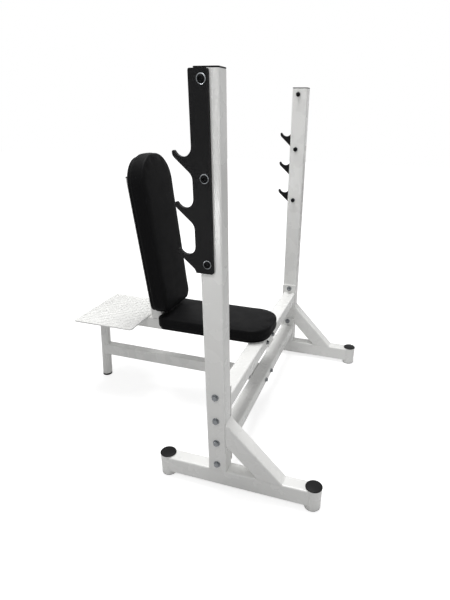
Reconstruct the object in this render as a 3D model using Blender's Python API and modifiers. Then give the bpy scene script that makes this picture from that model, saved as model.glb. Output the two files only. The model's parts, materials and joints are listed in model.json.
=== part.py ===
"""Seated shoulder press bench with fixed bar hooks.

Two uprights stand on feet and carry a laser-cut hook plate each. Two cross beams join them and
carry the centre frame, with a seat pad, a tall backrest pad and a spotter platform behind.
Metres, +Z up. The user sits facing -Y, so the right side of the bench is at -X. Places below
are measured from the uprights' plane, and the last step moves the origin to the middle of the
floor area.
"""
import math

import bmesh
import bpy
from mathutils import Matrix, Vector

# Clearances
GAP = 0.0003
BOLT_CLEARANCE = 0.0005

# Main frame tube, used for uprights, feet and braces
FRAME_WIDTH = 1.220
TUBE_WIDTH = 0.060
TUBE_DEPTH = 0.075
TUBE_WALL = 0.003
TUBE_CORNER = 0.007
UPRIGHT_TOP = 1.461

# Feet
RAIL_BOTTOM = 0.020
POST_RADIUS = 0.0318
POST_WALL = 0.003
POST_TOP = 0.098
FRONT_POST_Y = -0.378
REAR_POST_Y = 0.228
BRACE_TOP_Z = 0.328
BRACE_FRONT_Y = -0.262
PLUG_DEPTH = 0.018
POST_GLIDE_HEIGHT = 0.003
LEG_GLIDE_HEIGHT = 0.010
END_CAP_HEIGHT = 0.004
POST_CAP_HEIGHT = 0.005
POST_CAP_OVERHANG = 0.0012
CAP_EDGE = 0.0012
POST_RIM = 0.002

# Cross beams and their end plates
UPPER_BEAM_HEIGHT = 0.060
LOWER_BEAM_HEIGHT = 0.050
BEAM_DEPTH = 0.068
UPPER_BEAM_TOP = 0.411
UPPER_BEAM_Z = 0.386
LOWER_BEAM_Z = 0.1785
END_PLATE_THICKNESS = 0.008
END_PLATE_WIDTH = 0.075
END_PLATE_HEIGHT = 0.145
END_PLATE_BOLT_SPACING = 0.1046
PLATE_CORNER = 0.004

# Centre frame
CENTRE_WIDTH = 0.050
CENTRE_HEIGHT = 0.060
SEAT_BEAM_END_Y = 0.905
STRETCHER_Z = 0.172
FLANGE_THICKNESS = 0.006
FLANGE_WIDTH = 0.124
FLANGE_HEIGHT = 0.048
FLANGE_BOLT_X = 0.046
LEG_RADIUS = 0.025
LEG_WALL = 0.003
LEG_TOP_Y = 0.885
LEG_FOOT_Y = 0.920
VENT_RADIUS = 0.010

# Back support and pads
LEAN = math.radians(5.8)
SUPPORT_DEPTH = 0.060
SUPPORT_FOOT_Y = 0.551
SUPPORT_TOP_Z = 1.090
BRACKET_THICKNESS = 0.010
BRACKET_WIDTH = 0.150
BRACKET_LENGTH = 0.360
BRACKET_MIDDLE_Z = 0.800
BRACKET_CORNER = 0.010
BOARD_THICKNESS = 0.015
BACK_PAD_WIDTH = 0.274
BACK_PAD_BOTTOM_Z = 0.477
BACK_PAD_LENGTH = 0.712
BACK_PAD_THICKNESS = 0.072
BACK_TOP_CORNER = 0.105
BACK_BOTTOM_CORNER = 0.055
SEAT_PAD_WIDTH = 0.278
SEAT_FRONT_Y = -0.057
SEAT_REAR_Y = 0.496
SEAT_PAD_THICKNESS = 0.056
SEAT_BOARD_THICKNESS = 0.012
SEAT_FRONT_CORNER = 0.108
SEAT_REAR_CORNER = 0.035
BOARD_INSET = 0.012
SMALLEST_CORNER = 0.004
PAD_CROWN = 0.009
PAD_TUCK = 0.006
# Rings of a cushion: how far in, in tucks or metres or pad widths, then how high, as a share of
# the thickness or as a drop in crowns
PAD_SIDE_RINGS = ((2.0, 0.0), (1.0, 0.0), (0.4, 0.22), (0.0, 0.55))
PAD_EDGE_RINGS = ((0.002, 1.5), (0.012, 0.55))
PAD_TOP_RINGS = ((0.154, 0.12), (0.28, 0.0))

# Spotter platform
PLATFORM_WIDTH = 0.382
PLATFORM_FRONT_Y = 0.602
PLATFORM_REAR_Y = 0.924
PLATFORM_THICKNESS = 0.006
PLATFORM_CORNER = 0.012

# Hook plates
PLATE_THICKNESS = 0.012
PLATE_FRONT_Y = -0.0105
PLATE_REAR_Y = 0.045
PLATE_DROP = 0.001
HOOK_PLATE_CORNER = 0.005
HOOK_COUNT = 3
TOP_THROAT_DROP = 0.215
HOOK_PITCH = 0.1405
THROAT_RADIUS = 0.0268
TIP_RADIUS = 0.0045
TIP_RISE = 0.0165
CLAW_RADIUS = 0.019
CLAW_TURN = math.radians(6.0)
HOOK_SLOPE = math.radians(41.0)
HOOK_FILLET = 0.030
PLATE_FOOT = 0.057
HOOK_BOLT_Y = 0.007
HOOK_BOLT_DROPS = (0.0245, 0.271, 0.5225)

# Fasteners
BOLT_RADIUS = 0.006
WASHER_RADIUS = 0.0135
WASHER_THICKNESS = 0.0025
BUTTON_RADIUS = 0.011
BUTTON_HEIGHT = 0.0065
SOCKET_RADIUS = 0.004
SOCKET_DEPTH = 0.004
BUTTON_CURVE = (25.0, 45.0, 65.0, 90.0)
HEX_RADIUS = 0.011
HEX_HEIGHT = 0.0075
NUT_HEIGHT = 0.010
NUT_DOME_RADIUS = 0.009
NUT_DOME_HEIGHT = 0.008
BEAM_BOLT_RADIUS = 0.005
BEAM_WASHER_RADIUS = 0.0115
BEAM_HEX_RADIUS = 0.0095
CORE_SHARE = 0.8
HEAD_OVERLAP = 0.001
BOLT_END = 0.003

# Facets
CORNER_STEPS = 3
ROUND_STEPS = 24
SMALL_ROUND_STEPS = 12
BOLT_STEPS = 16
PAD_STEPS = 5
ARC_STEP = math.radians(14.0)
SMOOTH_ANGLE = 35.0
PAD_SMOOTH_ANGLE = 60.0

# The two sides of the bench: which way X goes, and what the side is called
SIDES = ((-1, "right"), (1, "left"))

# Sizes that follow from the ones above
UPRIGHT_X = FRAME_WIDTH / 2 - TUBE_WIDTH / 2
INNER_X = UPRIGHT_X - TUBE_WIDTH / 2
OUTER_X = UPRIGHT_X + TUBE_WIDTH / 2
UPRIGHT_FRONT_Y = -TUBE_DEPTH / 2
RAIL_TOP = RAIL_BOTTOM + TUBE_DEPTH
SEAT_BEAM_TOP = UPPER_BEAM_TOP
SEAT_BEAM_Z = SEAT_BEAM_TOP - CENTRE_HEIGHT / 2
BEAM_REAR_Y = BEAM_DEPTH / 2
BEAM_HALF = INNER_X - GAP
PLATE_TOP_Z = UPRIGHT_TOP - PLATE_DROP
THROATS_Z = [PLATE_TOP_Z - TOP_THROAT_DROP - HOOK_PITCH * i for i in range(HOOK_COUNT)]
HOOK_BOLT_Z = [PLATE_TOP_Z - drop for drop in HOOK_BOLT_DROPS]
FRAME_BOLTS_Z = [z + side * END_PLATE_BOLT_SPACING / 2
                 for z in (UPPER_BEAM_Z, LOWER_BEAM_Z) for side in (1, -1)]
CUT_LENGTH = UPRIGHT_TOP / 2


def clear_scene():
    """Start from an empty scene."""
    for ob in list(bpy.data.objects):
        bpy.data.objects.remove(ob, do_unlink=True)


def new_collection(name):
    """Make a collection and link it to the scene."""
    made = bpy.data.collections.new(name)
    bpy.context.scene.collection.children.link(made)
    return made


def new_material(name, colour, roughness, metallic):
    """Make a plain material from a linear colour, a roughness and a metallic value."""
    made = bpy.data.materials.new(name)
    made.use_nodes = True
    shader = made.node_tree.nodes["Principled BSDF"]
    shader.inputs["Base Color"].default_value = (*colour, 1.0)
    shader.inputs["Roughness"].default_value = roughness
    shader.inputs["Metallic"].default_value = metallic
    made.diffuse_color = (*colour, 1.0)
    return made


def keep(ob, material):
    """Give a finished piece its material."""
    ob.data.materials.clear()
    ob.data.materials.append(material)
    return ob


def arc(centre, radius, start, end):
    """Points along an arc in a plane, both ends included."""
    steps = max(2, round(abs(end - start) / ARC_STEP))
    angles = [start + (end - start) * i / steps for i in range(steps + 1)]
    return [(centre[0] + radius * math.cos(a), centre[1] + radius * math.sin(a)) for a in angles]


def rounded_outline(x0, x1, y0, y1, low_radius, high_radius, steps):
    """Corner points of a rectangle whose two low-Y and two high-Y corners are rounded."""
    corners = ((x1, y0, -1, 1, low_radius, -90), (x1, y1, -1, -1, high_radius, 0),
               (x0, y1, 1, -1, high_radius, 90), (x0, y0, 1, 1, low_radius, 180))
    points = []
    for x, y, inward_x, inward_y, radius, start in corners:
        for i in range(steps + 1):
            angle = math.radians(start + 90 * i / steps)
            points.append((x + inward_x * radius + radius * math.cos(angle),
                           y + inward_y * radius + radius * math.sin(angle)))
    return points


def rectangle(width, depth, radius, steps=CORNER_STEPS):
    """A rounded rectangle about the origin."""
    return rounded_outline(-width / 2, width / 2, -depth / 2, depth / 2, radius, radius, steps)


def circle(radius, steps):
    """A circle about the origin."""
    turns = [math.tau * i / steps for i in range(steps)]
    return [(radius * math.cos(t), radius * math.sin(t)) for t in turns]


def bake(ob, name):
    """Turn an object and its modifiers into a plain mesh object at the same place."""
    bpy.context.view_layer.update()
    evaluated = ob.evaluated_get(bpy.context.evaluated_depsgraph_get())
    mesh = bpy.data.meshes.new_from_object(evaluated)
    shape = bmesh.new()
    shape.from_mesh(mesh)
    bmesh.ops.remove_doubles(shape, verts=shape.verts, dist=0.00001)
    bmesh.ops.recalc_face_normals(shape, faces=shape.faces)
    shape.to_mesh(mesh)
    shape.free()
    made = bpy.data.objects.new(name, mesh)
    made.matrix_world = ob.matrix_world.copy()
    bpy.data.batch_remove([ob, ob.data])
    made.name = name
    mesh.name = name
    parts.objects.link(made)
    return made


def prism(name, loops, length):
    """Extrude closed loops in local XY, the inner ones as bores, centred along local Z."""
    curve = bpy.data.curves.new(name, "CURVE")
    curve.dimensions = "2D"
    curve.fill_mode = "BOTH"
    curve.extrude = length / 2
    for loop in loops:
        spline = curve.splines.new("POLY")
        spline.points.add(len(loop) - 1)
        for point, (x, y) in zip(spline.points, loop):
            point.co = (x, y, 0.0, 1.0)
        spline.use_cyclic_u = True
    ob = bpy.data.objects.new(name, curve)
    parts.objects.link(ob)
    return bake(ob, name)


def box_tube(name, width, depth, length, wall=TUBE_WALL, corner=TUBE_CORNER):
    """A rectangular tube along local Z with rounded corners and an open bore."""
    bore = rectangle(width - 2 * wall, depth - 2 * wall, corner - wall)
    return prism(name, [rectangle(width, depth, corner), bore], length)


def round_tube(name, radius, wall, length):
    """A round tube along local Z."""
    return prism(name, [circle(radius, ROUND_STEPS), circle(radius - wall, ROUND_STEPS)], length)


def turned(name, profile, steps):
    """Spin a profile of (radius, height) points, given from top to bottom, about local Z."""
    mesh = bpy.data.meshes.new(name)
    points = [(radius, 0.0, height) for radius, height in profile]
    edges = [(i, i + 1) for i in range(len(points) - 1)]
    mesh.from_pydata(points, edges, [])
    ob = bpy.data.objects.new(name, mesh)
    parts.objects.link(ob)
    spin = ob.modifiers.new("Spin", "SCREW")
    spin.steps = steps
    spin.render_steps = steps
    spin.use_merge_vertices = True
    spin.merge_threshold = 0.00001
    return ob


def shade(ob, angle=SMOOTH_ANGLE):
    """Shade a round piece smooth, with its hard edges kept."""
    ob.data.shade_smooth()
    ob.data.set_sharp_from_angle(angle=math.radians(angle))
    return ob


def cutter_from(shape, name):
    """Make a hidden cutter from a bmesh in world space."""
    mesh = bpy.data.meshes.new(name)
    shape.to_mesh(mesh)
    shape.free()
    ob = bpy.data.objects.new(name, mesh)
    ob.display_type = "WIRE"
    ob.hide_render = True
    cutters.objects.link(ob)
    return ob


def block_cutter(name, low, high):
    """A box cutter between two corners."""
    shape = bmesh.new()
    middle = (Vector(low) + Vector(high)) / 2
    size = Vector(high) - Vector(low)
    bmesh.ops.create_cube(shape, size=1.0, matrix=Matrix.Translation(middle) @ Matrix.Diagonal((*size, 1.0)))
    return cutter_from(shape, name)


def drill(name, centres, radius, axis, length, steps=SMALL_ROUND_STEPS):
    """Round cutters along one axis, one for each centre."""
    turn = {"X": Matrix.Rotation(math.pi / 2, 4, "Y"), "Y": Matrix.Rotation(math.pi / 2, 4, "X"),
            "Z": Matrix.Identity(4)}[axis]
    shape = bmesh.new()
    for centre in centres:
        bmesh.ops.create_cone(shape, cap_ends=True, segments=steps, radius1=radius, radius2=radius,
                              depth=length, matrix=Matrix.Translation(centre) @ turn)
    return cutter_from(shape, name)


def combine(ob, other, operation):
    """Add a Boolean modifier that cuts or joins another object."""
    step = ob.modifiers.new(other.name, "BOOLEAN")
    step.operation = operation
    step.object = other
    step.solver = "EXACT"
    return ob


def cut(ob, other):
    """Cut one object by another."""
    return combine(ob, other, "DIFFERENCE")


def join(ob, other):
    """Join a helper shape to an object and bake both into one mesh."""
    bpy.context.view_layer.update()
    made = bake(combine(ob, other, "UNION"), ob.name)
    bpy.data.batch_remove([other, other.data])
    return made


def upright(side, label):
    """An upright tube, drilled for the hook bolts and the cross beam bolts."""
    bottom = RAIL_TOP + GAP
    ob = box_tube(label + "_upright", TUBE_WIDTH, TUBE_DEPTH, UPRIGHT_TOP - bottom)
    ob.location = (side * UPRIGHT_X, 0.0, (UPRIGHT_TOP + bottom) / 2)
    x = side * UPRIGHT_X
    centres = [(x, HOOK_BOLT_Y, z) for z in HOOK_BOLT_Z] + [(x, 0.0, z) for z in FRAME_BOLTS_Z]
    holes = drill(label + "_upright_holes", centres, BOLT_RADIUS + BOLT_CLEARANCE, "X", 2 * TUBE_WIDTH)
    keep(cut(ob, holes), white_steel)


def upright_cap(side, label):
    """A pressed-in plastic cap that closes the top of an upright."""
    name = label + "_upright_cap"
    top = prism(name, [rectangle(TUBE_WIDTH, TUBE_DEPTH, TUBE_CORNER)], END_CAP_HEIGHT)
    edge = top.modifiers.new("Edge", "BEVEL")
    edge.width = CAP_EDGE
    edge.segments = 1
    edge.limit_method = "ANGLE"
    edge.angle_limit = math.radians(60.0)
    play = 2 * (TUBE_WALL + GAP)
    plug = prism(name + "_plug", [rectangle(TUBE_WIDTH - play, TUBE_DEPTH - play, TUBE_CORNER - TUBE_WALL)],
                 PLUG_DEPTH)
    plug.location.z = -PLUG_DEPTH / 2
    made = join(top, plug)
    made.location = (side * UPRIGHT_X, 0.0, UPRIGHT_TOP + GAP + END_CAP_HEIGHT / 2)
    keep(made, black_plastic)


def foot_rail(side, label):
    """The floor rail between the two posts, coped round them."""
    x = side * UPRIGHT_X
    ob = box_tube(label + "_foot_rail", TUBE_WIDTH, TUBE_DEPTH, REAR_POST_Y - FRONT_POST_Y)
    ob.rotation_euler = (math.pi / 2, 0.0, 0.0)
    ob.location = (x, (REAR_POST_Y + FRONT_POST_Y) / 2, RAIL_BOTTOM + TUBE_DEPTH / 2)
    centres = [(x, y, RAIL_TOP / 2) for y in (FRONT_POST_Y, REAR_POST_Y)]
    cope = drill(label + "_foot_rail_cope", centres, POST_RADIUS + GAP, "Z", CUT_LENGTH, 2 * ROUND_STEPS)
    keep(cut(ob, cope), white_steel)


def brace(side, label):
    """The sloping brace from the upright's front face to the foot rail, mitred at both ends."""
    x = side * UPRIGHT_X
    top = Vector((x, UPRIGHT_FRONT_Y, BRACE_TOP_Z))
    foot = Vector((x, BRACE_FRONT_Y, RAIL_TOP))
    run = top - foot
    upper_normal = Vector((0.0, -run.z, run.y)).normalized()
    middle = (top + foot) / 2 - upper_normal * TUBE_DEPTH / 2
    ob = box_tube(label + "_brace", TUBE_WIDTH, TUBE_DEPTH, run.length + 4 * TUBE_DEPTH)
    ob.rotation_euler = (-math.atan2(run.y, run.z), 0.0, 0.0)
    ob.location = middle
    reach = CUT_LENGTH
    half = TUBE_WIDTH
    back = block_cutter(label + "_brace_back", (x - half, UPRIGHT_FRONT_Y - GAP, -reach),
                        (x + half, reach, 3 * reach))
    floor = block_cutter(label + "_brace_floor", (x - half, -3 * reach, -reach),
                         (x + half, reach, RAIL_TOP + GAP))
    keep(cut(cut(ob, back), floor), white_steel)


def foot_post(side, label, end, y):
    """A round post at one end of a foot, with its top cap and its rubber glide."""
    x = side * UPRIGHT_X
    bottom = POST_GLIDE_HEIGHT + GAP
    name = label + "_" + end + "_post"
    ob = round_tube(name, POST_RADIUS, POST_WALL, POST_TOP - bottom)
    ob.location = (x, y, (POST_TOP + bottom) / 2)
    keep(shade(ob), white_steel)
    bore = POST_RADIUS - POST_WALL - GAP
    rim = POST_RIM
    lid = POST_RADIUS + POST_CAP_OVERHANG
    cap = turned(name + "_cap", [(0.0, POST_CAP_HEIGHT), (lid * 0.6, POST_CAP_HEIGHT - rim / 4),
                                 (lid - rim, POST_CAP_HEIGHT - rim), (lid, rim / 2),
                                 (lid, 0.0), (bore, 0.0), (bore, -PLUG_DEPTH), (0.0, -PLUG_DEPTH)],
                 ROUND_STEPS)
    cap.location = (x, y, POST_TOP + GAP)
    keep(shade(cap), black_plastic)
    glide = turned(name + "_glide", [(0.0, PLUG_DEPTH), (bore, PLUG_DEPTH),
                                     (bore, POST_GLIDE_HEIGHT), (POST_RADIUS, POST_GLIDE_HEIGHT),
                                     (POST_RADIUS, rim), (POST_RADIUS - rim, 0.0), (0.0, 0.0)], ROUND_STEPS)
    glide.location = (x, y, 0.0)
    keep(shade(glide), black_rubber)


def hook_outline(throat_z):
    """Points along one hook, from the plate's rear edge below it to the edge above it."""
    centre = (PLATE_REAR_Y + THROAT_RADIUS, throat_z + THROAT_RADIUS)
    mid = THROAT_RADIUS + TIP_RADIUS
    lift = math.asin((TIP_RISE - TIP_RADIUS - THROAT_RADIUS) / mid)
    tip = (centre[0] + mid * math.cos(lift), centre[1] + mid * math.sin(lift))
    reach = CLAW_RADIUS - TIP_RADIUS
    claw = (tip[0] - reach * math.cos(CLAW_TURN), tip[1] - reach * math.sin(CLAW_TURN))
    belly = HOOK_SLOPE - math.pi / 2
    tangent = (claw[0] + CLAW_RADIUS * math.cos(belly), claw[1] + CLAW_RADIUS * math.sin(belly))
    fillet_y = PLATE_REAR_Y + HOOK_FILLET
    normal = HOOK_SLOPE + math.pi / 2
    fillet_z = (tangent[1] - HOOK_FILLET * math.sin(normal)
                + math.tan(HOOK_SLOPE) * (fillet_y + HOOK_FILLET * math.cos(normal) - tangent[0]))
    points = arc((fillet_y, fillet_z), HOOK_FILLET, math.pi, normal)
    points += arc(claw, CLAW_RADIUS, belly, CLAW_TURN)
    points += arc(tip, TIP_RADIUS, CLAW_TURN, lift + math.pi)[1:-1]
    points += arc(centre, THROAT_RADIUS, lift, -math.pi)
    return points


def plate_outline():
    """The whole hook plate in its own YZ plane: rear edge upwards, then the plain front edge."""
    bottom = THROATS_Z[-1] - PLATE_FOOT
    points = []
    for throat_z in reversed(THROATS_Z):
        points += [p for p in hook_outline(throat_z) if p[1] > bottom]
    radius = HOOK_PLATE_CORNER
    front, rear, top = PLATE_FRONT_Y + radius, PLATE_REAR_Y - radius, PLATE_TOP_Z - radius
    points += arc((rear, top), radius, 0.0, math.pi / 2)
    points += arc((front, top), radius, math.pi / 2, math.pi)
    points += arc((front, bottom + radius), radius, math.pi, 1.5 * math.pi)
    points.append((PLATE_REAR_Y, bottom))
    return points


def hook_plate(side, label):
    """The hook plate on the upright's outer face, with three bolt holes."""
    ob = prism(label + "_hook_plate", [plate_outline()], PLATE_THICKNESS)
    x = side * (OUTER_X + GAP + PLATE_THICKNESS / 2)
    ob.rotation_euler = (math.pi / 2, 0.0, math.pi / 2)
    ob.location = (x, 0.0, 0.0)
    centres = [(x, HOOK_BOLT_Y, z) for z in HOOK_BOLT_Z]
    holes = drill(label + "_hook_plate_holes", centres, BOLT_RADIUS + BOLT_CLEARANCE, "X",
                  4 * PLATE_THICKNESS)
    keep(cut(ob, holes), black_steel)


def hex_prism(name, radius, height, base):
    """A hexagonal head or nut that stands on a height along local Z."""
    shape = bmesh.new()
    bmesh.ops.create_cone(shape, cap_ends=True, segments=6, radius1=radius, radius2=radius, depth=height,
                          matrix=Matrix.Translation((0.0, 0.0, base + height / 2)))
    mesh = bpy.data.meshes.new(name)
    shape.to_mesh(mesh)
    shape.free()
    ob = bpy.data.objects.new(name, mesh)
    parts.objects.link(ob)
    return ob


def copies(source, names, places, material):
    """Place one object for each name, all with the source's mesh, then drop the source."""
    for name, (location, rotation) in zip(names, places):
        ob = bpy.data.objects.new(name, source.data)
        ob.location = location
        ob.rotation_euler = rotation
        parts.objects.link(ob)
    keep(source, material)
    bpy.data.objects.remove(source, do_unlink=True)


def outward(side):
    """Rotation that turns local Z to the outside of the bench on one side."""
    return (0.0, side * math.pi / 2, 0.0)


def hook_bolts():
    """Button-head bolts with a washer through each hook plate and upright, and their cap nuts."""
    grip = PLATE_THICKNESS + TUBE_WIDTH + 2 * GAP
    top = WASHER_THICKNESS + BUTTON_HEIGHT
    dome = [(BUTTON_RADIUS * math.sin(a), WASHER_THICKNESS + BUTTON_HEIGHT * math.cos(a))
            for a in map(math.radians, BUTTON_CURVE)]
    profile = [(0.0, top - SOCKET_DEPTH), (SOCKET_RADIUS, top - SOCKET_DEPTH), (SOCKET_RADIUS, dome[0][1])]
    profile += dome
    profile += [(WASHER_RADIUS, WASHER_THICKNESS), (WASHER_RADIUS, 0.0), (BOLT_RADIUS, 0.0),
                (BOLT_RADIUS, -grip - NUT_HEIGHT), (0.0, -grip - NUT_HEIGHT)]
    bolt = shade(bake(turned("hook_bolt", profile, BOLT_STEPS), "hook_bolt"))
    bore = BOLT_RADIUS + GAP
    nut = turned("cap_nut_dome", [(0.0, NUT_HEIGHT + NUT_DOME_HEIGHT),
                                  (NUT_DOME_RADIUS * 0.6, NUT_HEIGHT + NUT_DOME_HEIGHT * 0.8),
                                  (NUT_DOME_RADIUS, NUT_HEIGHT), (NUT_DOME_RADIUS, HEAD_OVERLAP),
                                  (bore, HEAD_OVERLAP), (bore, NUT_HEIGHT + GAP),
                                  (0.0, NUT_HEIGHT + GAP)], BOLT_STEPS)
    nut = bake(nut, "cap_nut")
    ring = hex_prism("cap_nut_hex", HEX_RADIUS, NUT_HEIGHT, 0.0)
    thread = drill("cap_nut_bore", [(0.0, 0.0, 0.0)], bore, "Z", 4 * NUT_HEIGHT, BOLT_STEPS)
    ring = bake(cut(ring, thread), "cap_nut_hex")
    nut = join(ring, nut)
    names, places, nuts = [], [], []
    for side, label in SIDES:
        for number, z in enumerate(HOOK_BOLT_Z, 1):
            names.append(label + "_hook_bolt_" + str(number))
            places.append(((side * (OUTER_X + PLATE_THICKNESS + 2 * GAP), HOOK_BOLT_Y, z), outward(side)))
            nuts.append(((side * (INNER_X - GAP), HOOK_BOLT_Y, z), outward(-side)))
    copies(bolt, names, places, zinc_steel)
    copies(nut, [name.replace("bolt", "nut") for name in names], nuts, black_steel)


def hex_bolt(name, radius, washer, hexagon, grip):
    """A hex bolt along local Z with both washers and its nut tightened on."""
    core = hexagon * CORE_SHARE
    head = WASHER_THICKNESS + HEAD_OVERLAP
    near = -grip - 2 * GAP
    far = near - WASHER_THICKNESS
    end = far - NUT_HEIGHT - BOLT_END
    profile = [(0.0, head), (core, head), (core, WASHER_THICKNESS), (washer, WASHER_THICKNESS),
               (washer, 0.0), (radius, 0.0), (radius, near), (washer, near), (washer, far),
               (radius, far), (radius, end), (0.0, end)]
    body = bake(turned(name, profile, SMALL_ROUND_STEPS), name)
    body = join(body, hex_prism(name + "_head", hexagon, HEX_HEIGHT, WASHER_THICKNESS))
    return shade(join(body, hex_prism(name + "_nut", hexagon, NUT_HEIGHT, far - NUT_HEIGHT)))


def frame_bolts():
    """Hex bolts through the uprights and the end plates of the cross beams."""
    grip = TUBE_WIDTH + END_PLATE_THICKNESS + GAP
    bolt = hex_bolt("frame_bolt", BOLT_RADIUS, WASHER_RADIUS, HEX_RADIUS, grip)
    names, places = [], []
    for side, label in SIDES:
        for number, z in enumerate(FRAME_BOLTS_Z, 1):
            names.append(label + "_frame_bolt_" + str(number))
            places.append(((side * (OUTER_X + GAP), 0.0, z), outward(side)))
    copies(bolt, names, places, zinc_steel)


def beam_bolts():
    """Hex bolts through the cross beams and the flanges of the centre frame."""
    bolt = hex_bolt("beam_bolt", BEAM_BOLT_RADIUS, BEAM_WASHER_RADIUS, BEAM_HEX_RADIUS,
                    BEAM_DEPTH + FLANGE_THICKNESS + GAP)
    names, places = [], []
    for label, z in (("seat_beam", UPPER_BEAM_Z), ("stretcher", LOWER_BEAM_Z)):
        for side, hand in SIDES:
            names.append(label + "_bolt_" + hand)
            places.append(((side * FLANGE_BOLT_X, -BEAM_DEPTH / 2 - GAP, z), (math.pi / 2, 0.0, 0.0)))
    copies(bolt, names, places, dark_steel)


def plate_solid(name, width, height, thickness, corner, vent=0.0):
    """A flat plate in local XY with rounded corners, and a vent hole in its middle if one is asked."""
    loops = [rectangle(width, height, corner, 2)]
    if vent:
        loops.append(circle(vent, SMALL_ROUND_STEPS))
    return prism(name, loops, thickness)


def cross_beam(name, z, height, top):
    """A cross beam with a welded end plate at each upright. The vents keep its hollow open."""
    inner = BEAM_HALF - END_PLATE_THICKNESS
    ob = box_tube(name, height, BEAM_DEPTH, 2 * inner + END_PLATE_THICKNESS)
    ob.rotation_euler = (0.0, math.pi / 2, 0.0)
    ob.location = (0.0, 0.0, top - height / 2)
    for side, label in SIDES:
        plate = plate_solid(name + "_plate_" + label, END_PLATE_HEIGHT, END_PLATE_WIDTH,
                            END_PLATE_THICKNESS, PLATE_CORNER, VENT_RADIUS)
        plate.rotation_euler = (0.0, math.pi / 2, 0.0)
        plate.location = (side * (inner + END_PLATE_THICKNESS / 2), 0.0, z)
        ob = join(ob, plate)
    half = END_PLATE_BOLT_SPACING / 2
    ends = [(side * inner, 0.0, z + step * half) for side, _ in SIDES for step in (1, -1)]
    ends_cut = drill(name + "_end_holes", ends, BOLT_RADIUS + BOLT_CLEARANCE, "X", 8 * END_PLATE_THICKNESS)
    through = drill(name + "_flange_holes", [(side * FLANGE_BOLT_X, 0.0, z) for side, _ in SIDES],
                    BEAM_BOLT_RADIUS + BOLT_CLEARANCE, "Y", 2 * BEAM_DEPTH)
    keep(cut(cut(ob, ends_cut), through), white_steel)


def flanged_tube(name, end_y, z, flange_z):
    """A centre tube that runs back from a cross beam, with its bolted flange welded on."""
    start = BEAM_REAR_Y + GAP
    length = end_y - start - FLANGE_THICKNESS / 2
    ob = box_tube(name, CENTRE_WIDTH, CENTRE_HEIGHT, length)
    ob.rotation_euler = (math.pi / 2, 0.0, 0.0)
    ob.location = (0.0, end_y - length / 2, z)
    flange = plate_solid(name + "_flange", FLANGE_WIDTH, FLANGE_HEIGHT, FLANGE_THICKNESS, PLATE_CORNER)
    flange.rotation_euler = (math.pi / 2, 0.0, 0.0)
    flange.location = (0.0, start + FLANGE_THICKNESS / 2, flange_z)
    ob = join(ob, flange)
    centres = [(side * FLANGE_BOLT_X, start, flange_z) for side, _ in SIDES]
    holes = drill(name + "_flange_holes", centres, BEAM_BOLT_RADIUS + BOLT_CLEARANCE, "Y",
                  8 * FLANGE_THICKNESS)
    return cut(ob, holes)


def seat_beam():
    """The beam under the seat, backrest and platform, closed at its rear and vented into the leg."""
    ob = flanged_tube("seat_beam", SEAT_BEAM_END_Y, SEAT_BEAM_Z, UPPER_BEAM_Z)
    vent = drill("seat_beam_vent", [(0.0, LEG_TOP_Y - LEG_RADIUS / 2, SEAT_BEAM_Z - CENTRE_HEIGHT / 2)],
                 VENT_RADIUS, "Z", CENTRE_HEIGHT / 2)
    ob = cut(ob, vent)
    end = plate_solid("seat_beam_end", CENTRE_WIDTH, CENTRE_HEIGHT, FLANGE_THICKNESS, TUBE_CORNER)
    end.rotation_euler = (math.pi / 2, 0.0, 0.0)
    end.location = (0.0, SEAT_BEAM_END_Y, SEAT_BEAM_Z)
    keep(join(ob, end), white_steel)


def leg_y(z):
    """Where the rear leg's axis is at a height."""
    top = SEAT_BEAM_Z - CENTRE_HEIGHT / 2
    return LEG_FOOT_Y + (LEG_TOP_Y - LEG_FOOT_Y) * z / top


def slant(ob, low, high):
    """Shear a vertical mesh between two heights along the leg's slope and set it in place."""
    middle = (low + high) / 2
    slope = (leg_y(high) - leg_y(low)) / (high - low)
    ob.data.transform(Matrix(((1, 0, 0, 0), (0, 1, slope, 0), (0, 0, 1, 0), (0, 0, 0, 1))))
    ob.location = (0.0, leg_y(middle), middle)
    return ob


def rear_leg():
    """The round rear leg under the platform, and its plastic glide."""
    top = SEAT_BEAM_Z - CENTRE_HEIGHT / 2 - GAP
    bottom = LEG_GLIDE_HEIGHT + GAP
    leg = slant(round_tube("rear_leg", LEG_RADIUS, LEG_WALL, top - bottom), bottom, top)
    keep(shade(leg), white_steel)
    glide = slant(prism("rear_leg_glide", [circle(LEG_RADIUS, ROUND_STEPS)], LEG_GLIDE_HEIGHT), 0.0,
                  LEG_GLIDE_HEIGHT)
    plug_radius = LEG_RADIUS - LEG_WALL - 2 * GAP
    overlap = LEG_GLIDE_HEIGHT / 2
    plug = prism("rear_leg_plug", [circle(plug_radius, ROUND_STEPS)], PLUG_DEPTH + overlap)
    plug = slant(plug, LEG_GLIDE_HEIGHT - overlap, LEG_GLIDE_HEIGHT + PLUG_DEPTH)
    keep(shade(join(glide, plug)), black_rubber)


def stretcher():
    """The lower centre tube, coped round the rear leg."""
    ob = flanged_tube("lower_stretcher", leg_y(STRETCHER_Z), STRETCHER_Z, LOWER_BEAM_Z)
    low, high = STRETCHER_Z - CENTRE_HEIGHT, STRETCHER_Z + CENTRE_HEIGHT
    shape = prism("lower_stretcher_cope", [circle(LEG_RADIUS + GAP, 2 * ROUND_STEPS)], high - low)
    shape = slant(shape, low, high)
    parts.objects.unlink(shape)
    cutters.objects.link(shape)
    shape.display_type = "WIRE"
    shape.hide_render = True
    keep(cut(ob, shape), white_steel)


def lean_matrix(along, out):
    """A frame on the back support's front face: along it from its foot, and out towards the user."""
    foot = Vector((0.0, SUPPORT_FOOT_Y, SEAT_BEAM_TOP))
    turn = Matrix.Rotation(-LEAN, 4, "X")
    return Matrix.Translation(foot) @ turn @ Matrix.Translation((0.0, -SUPPORT_DEPTH / 2 - out, along))


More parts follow.
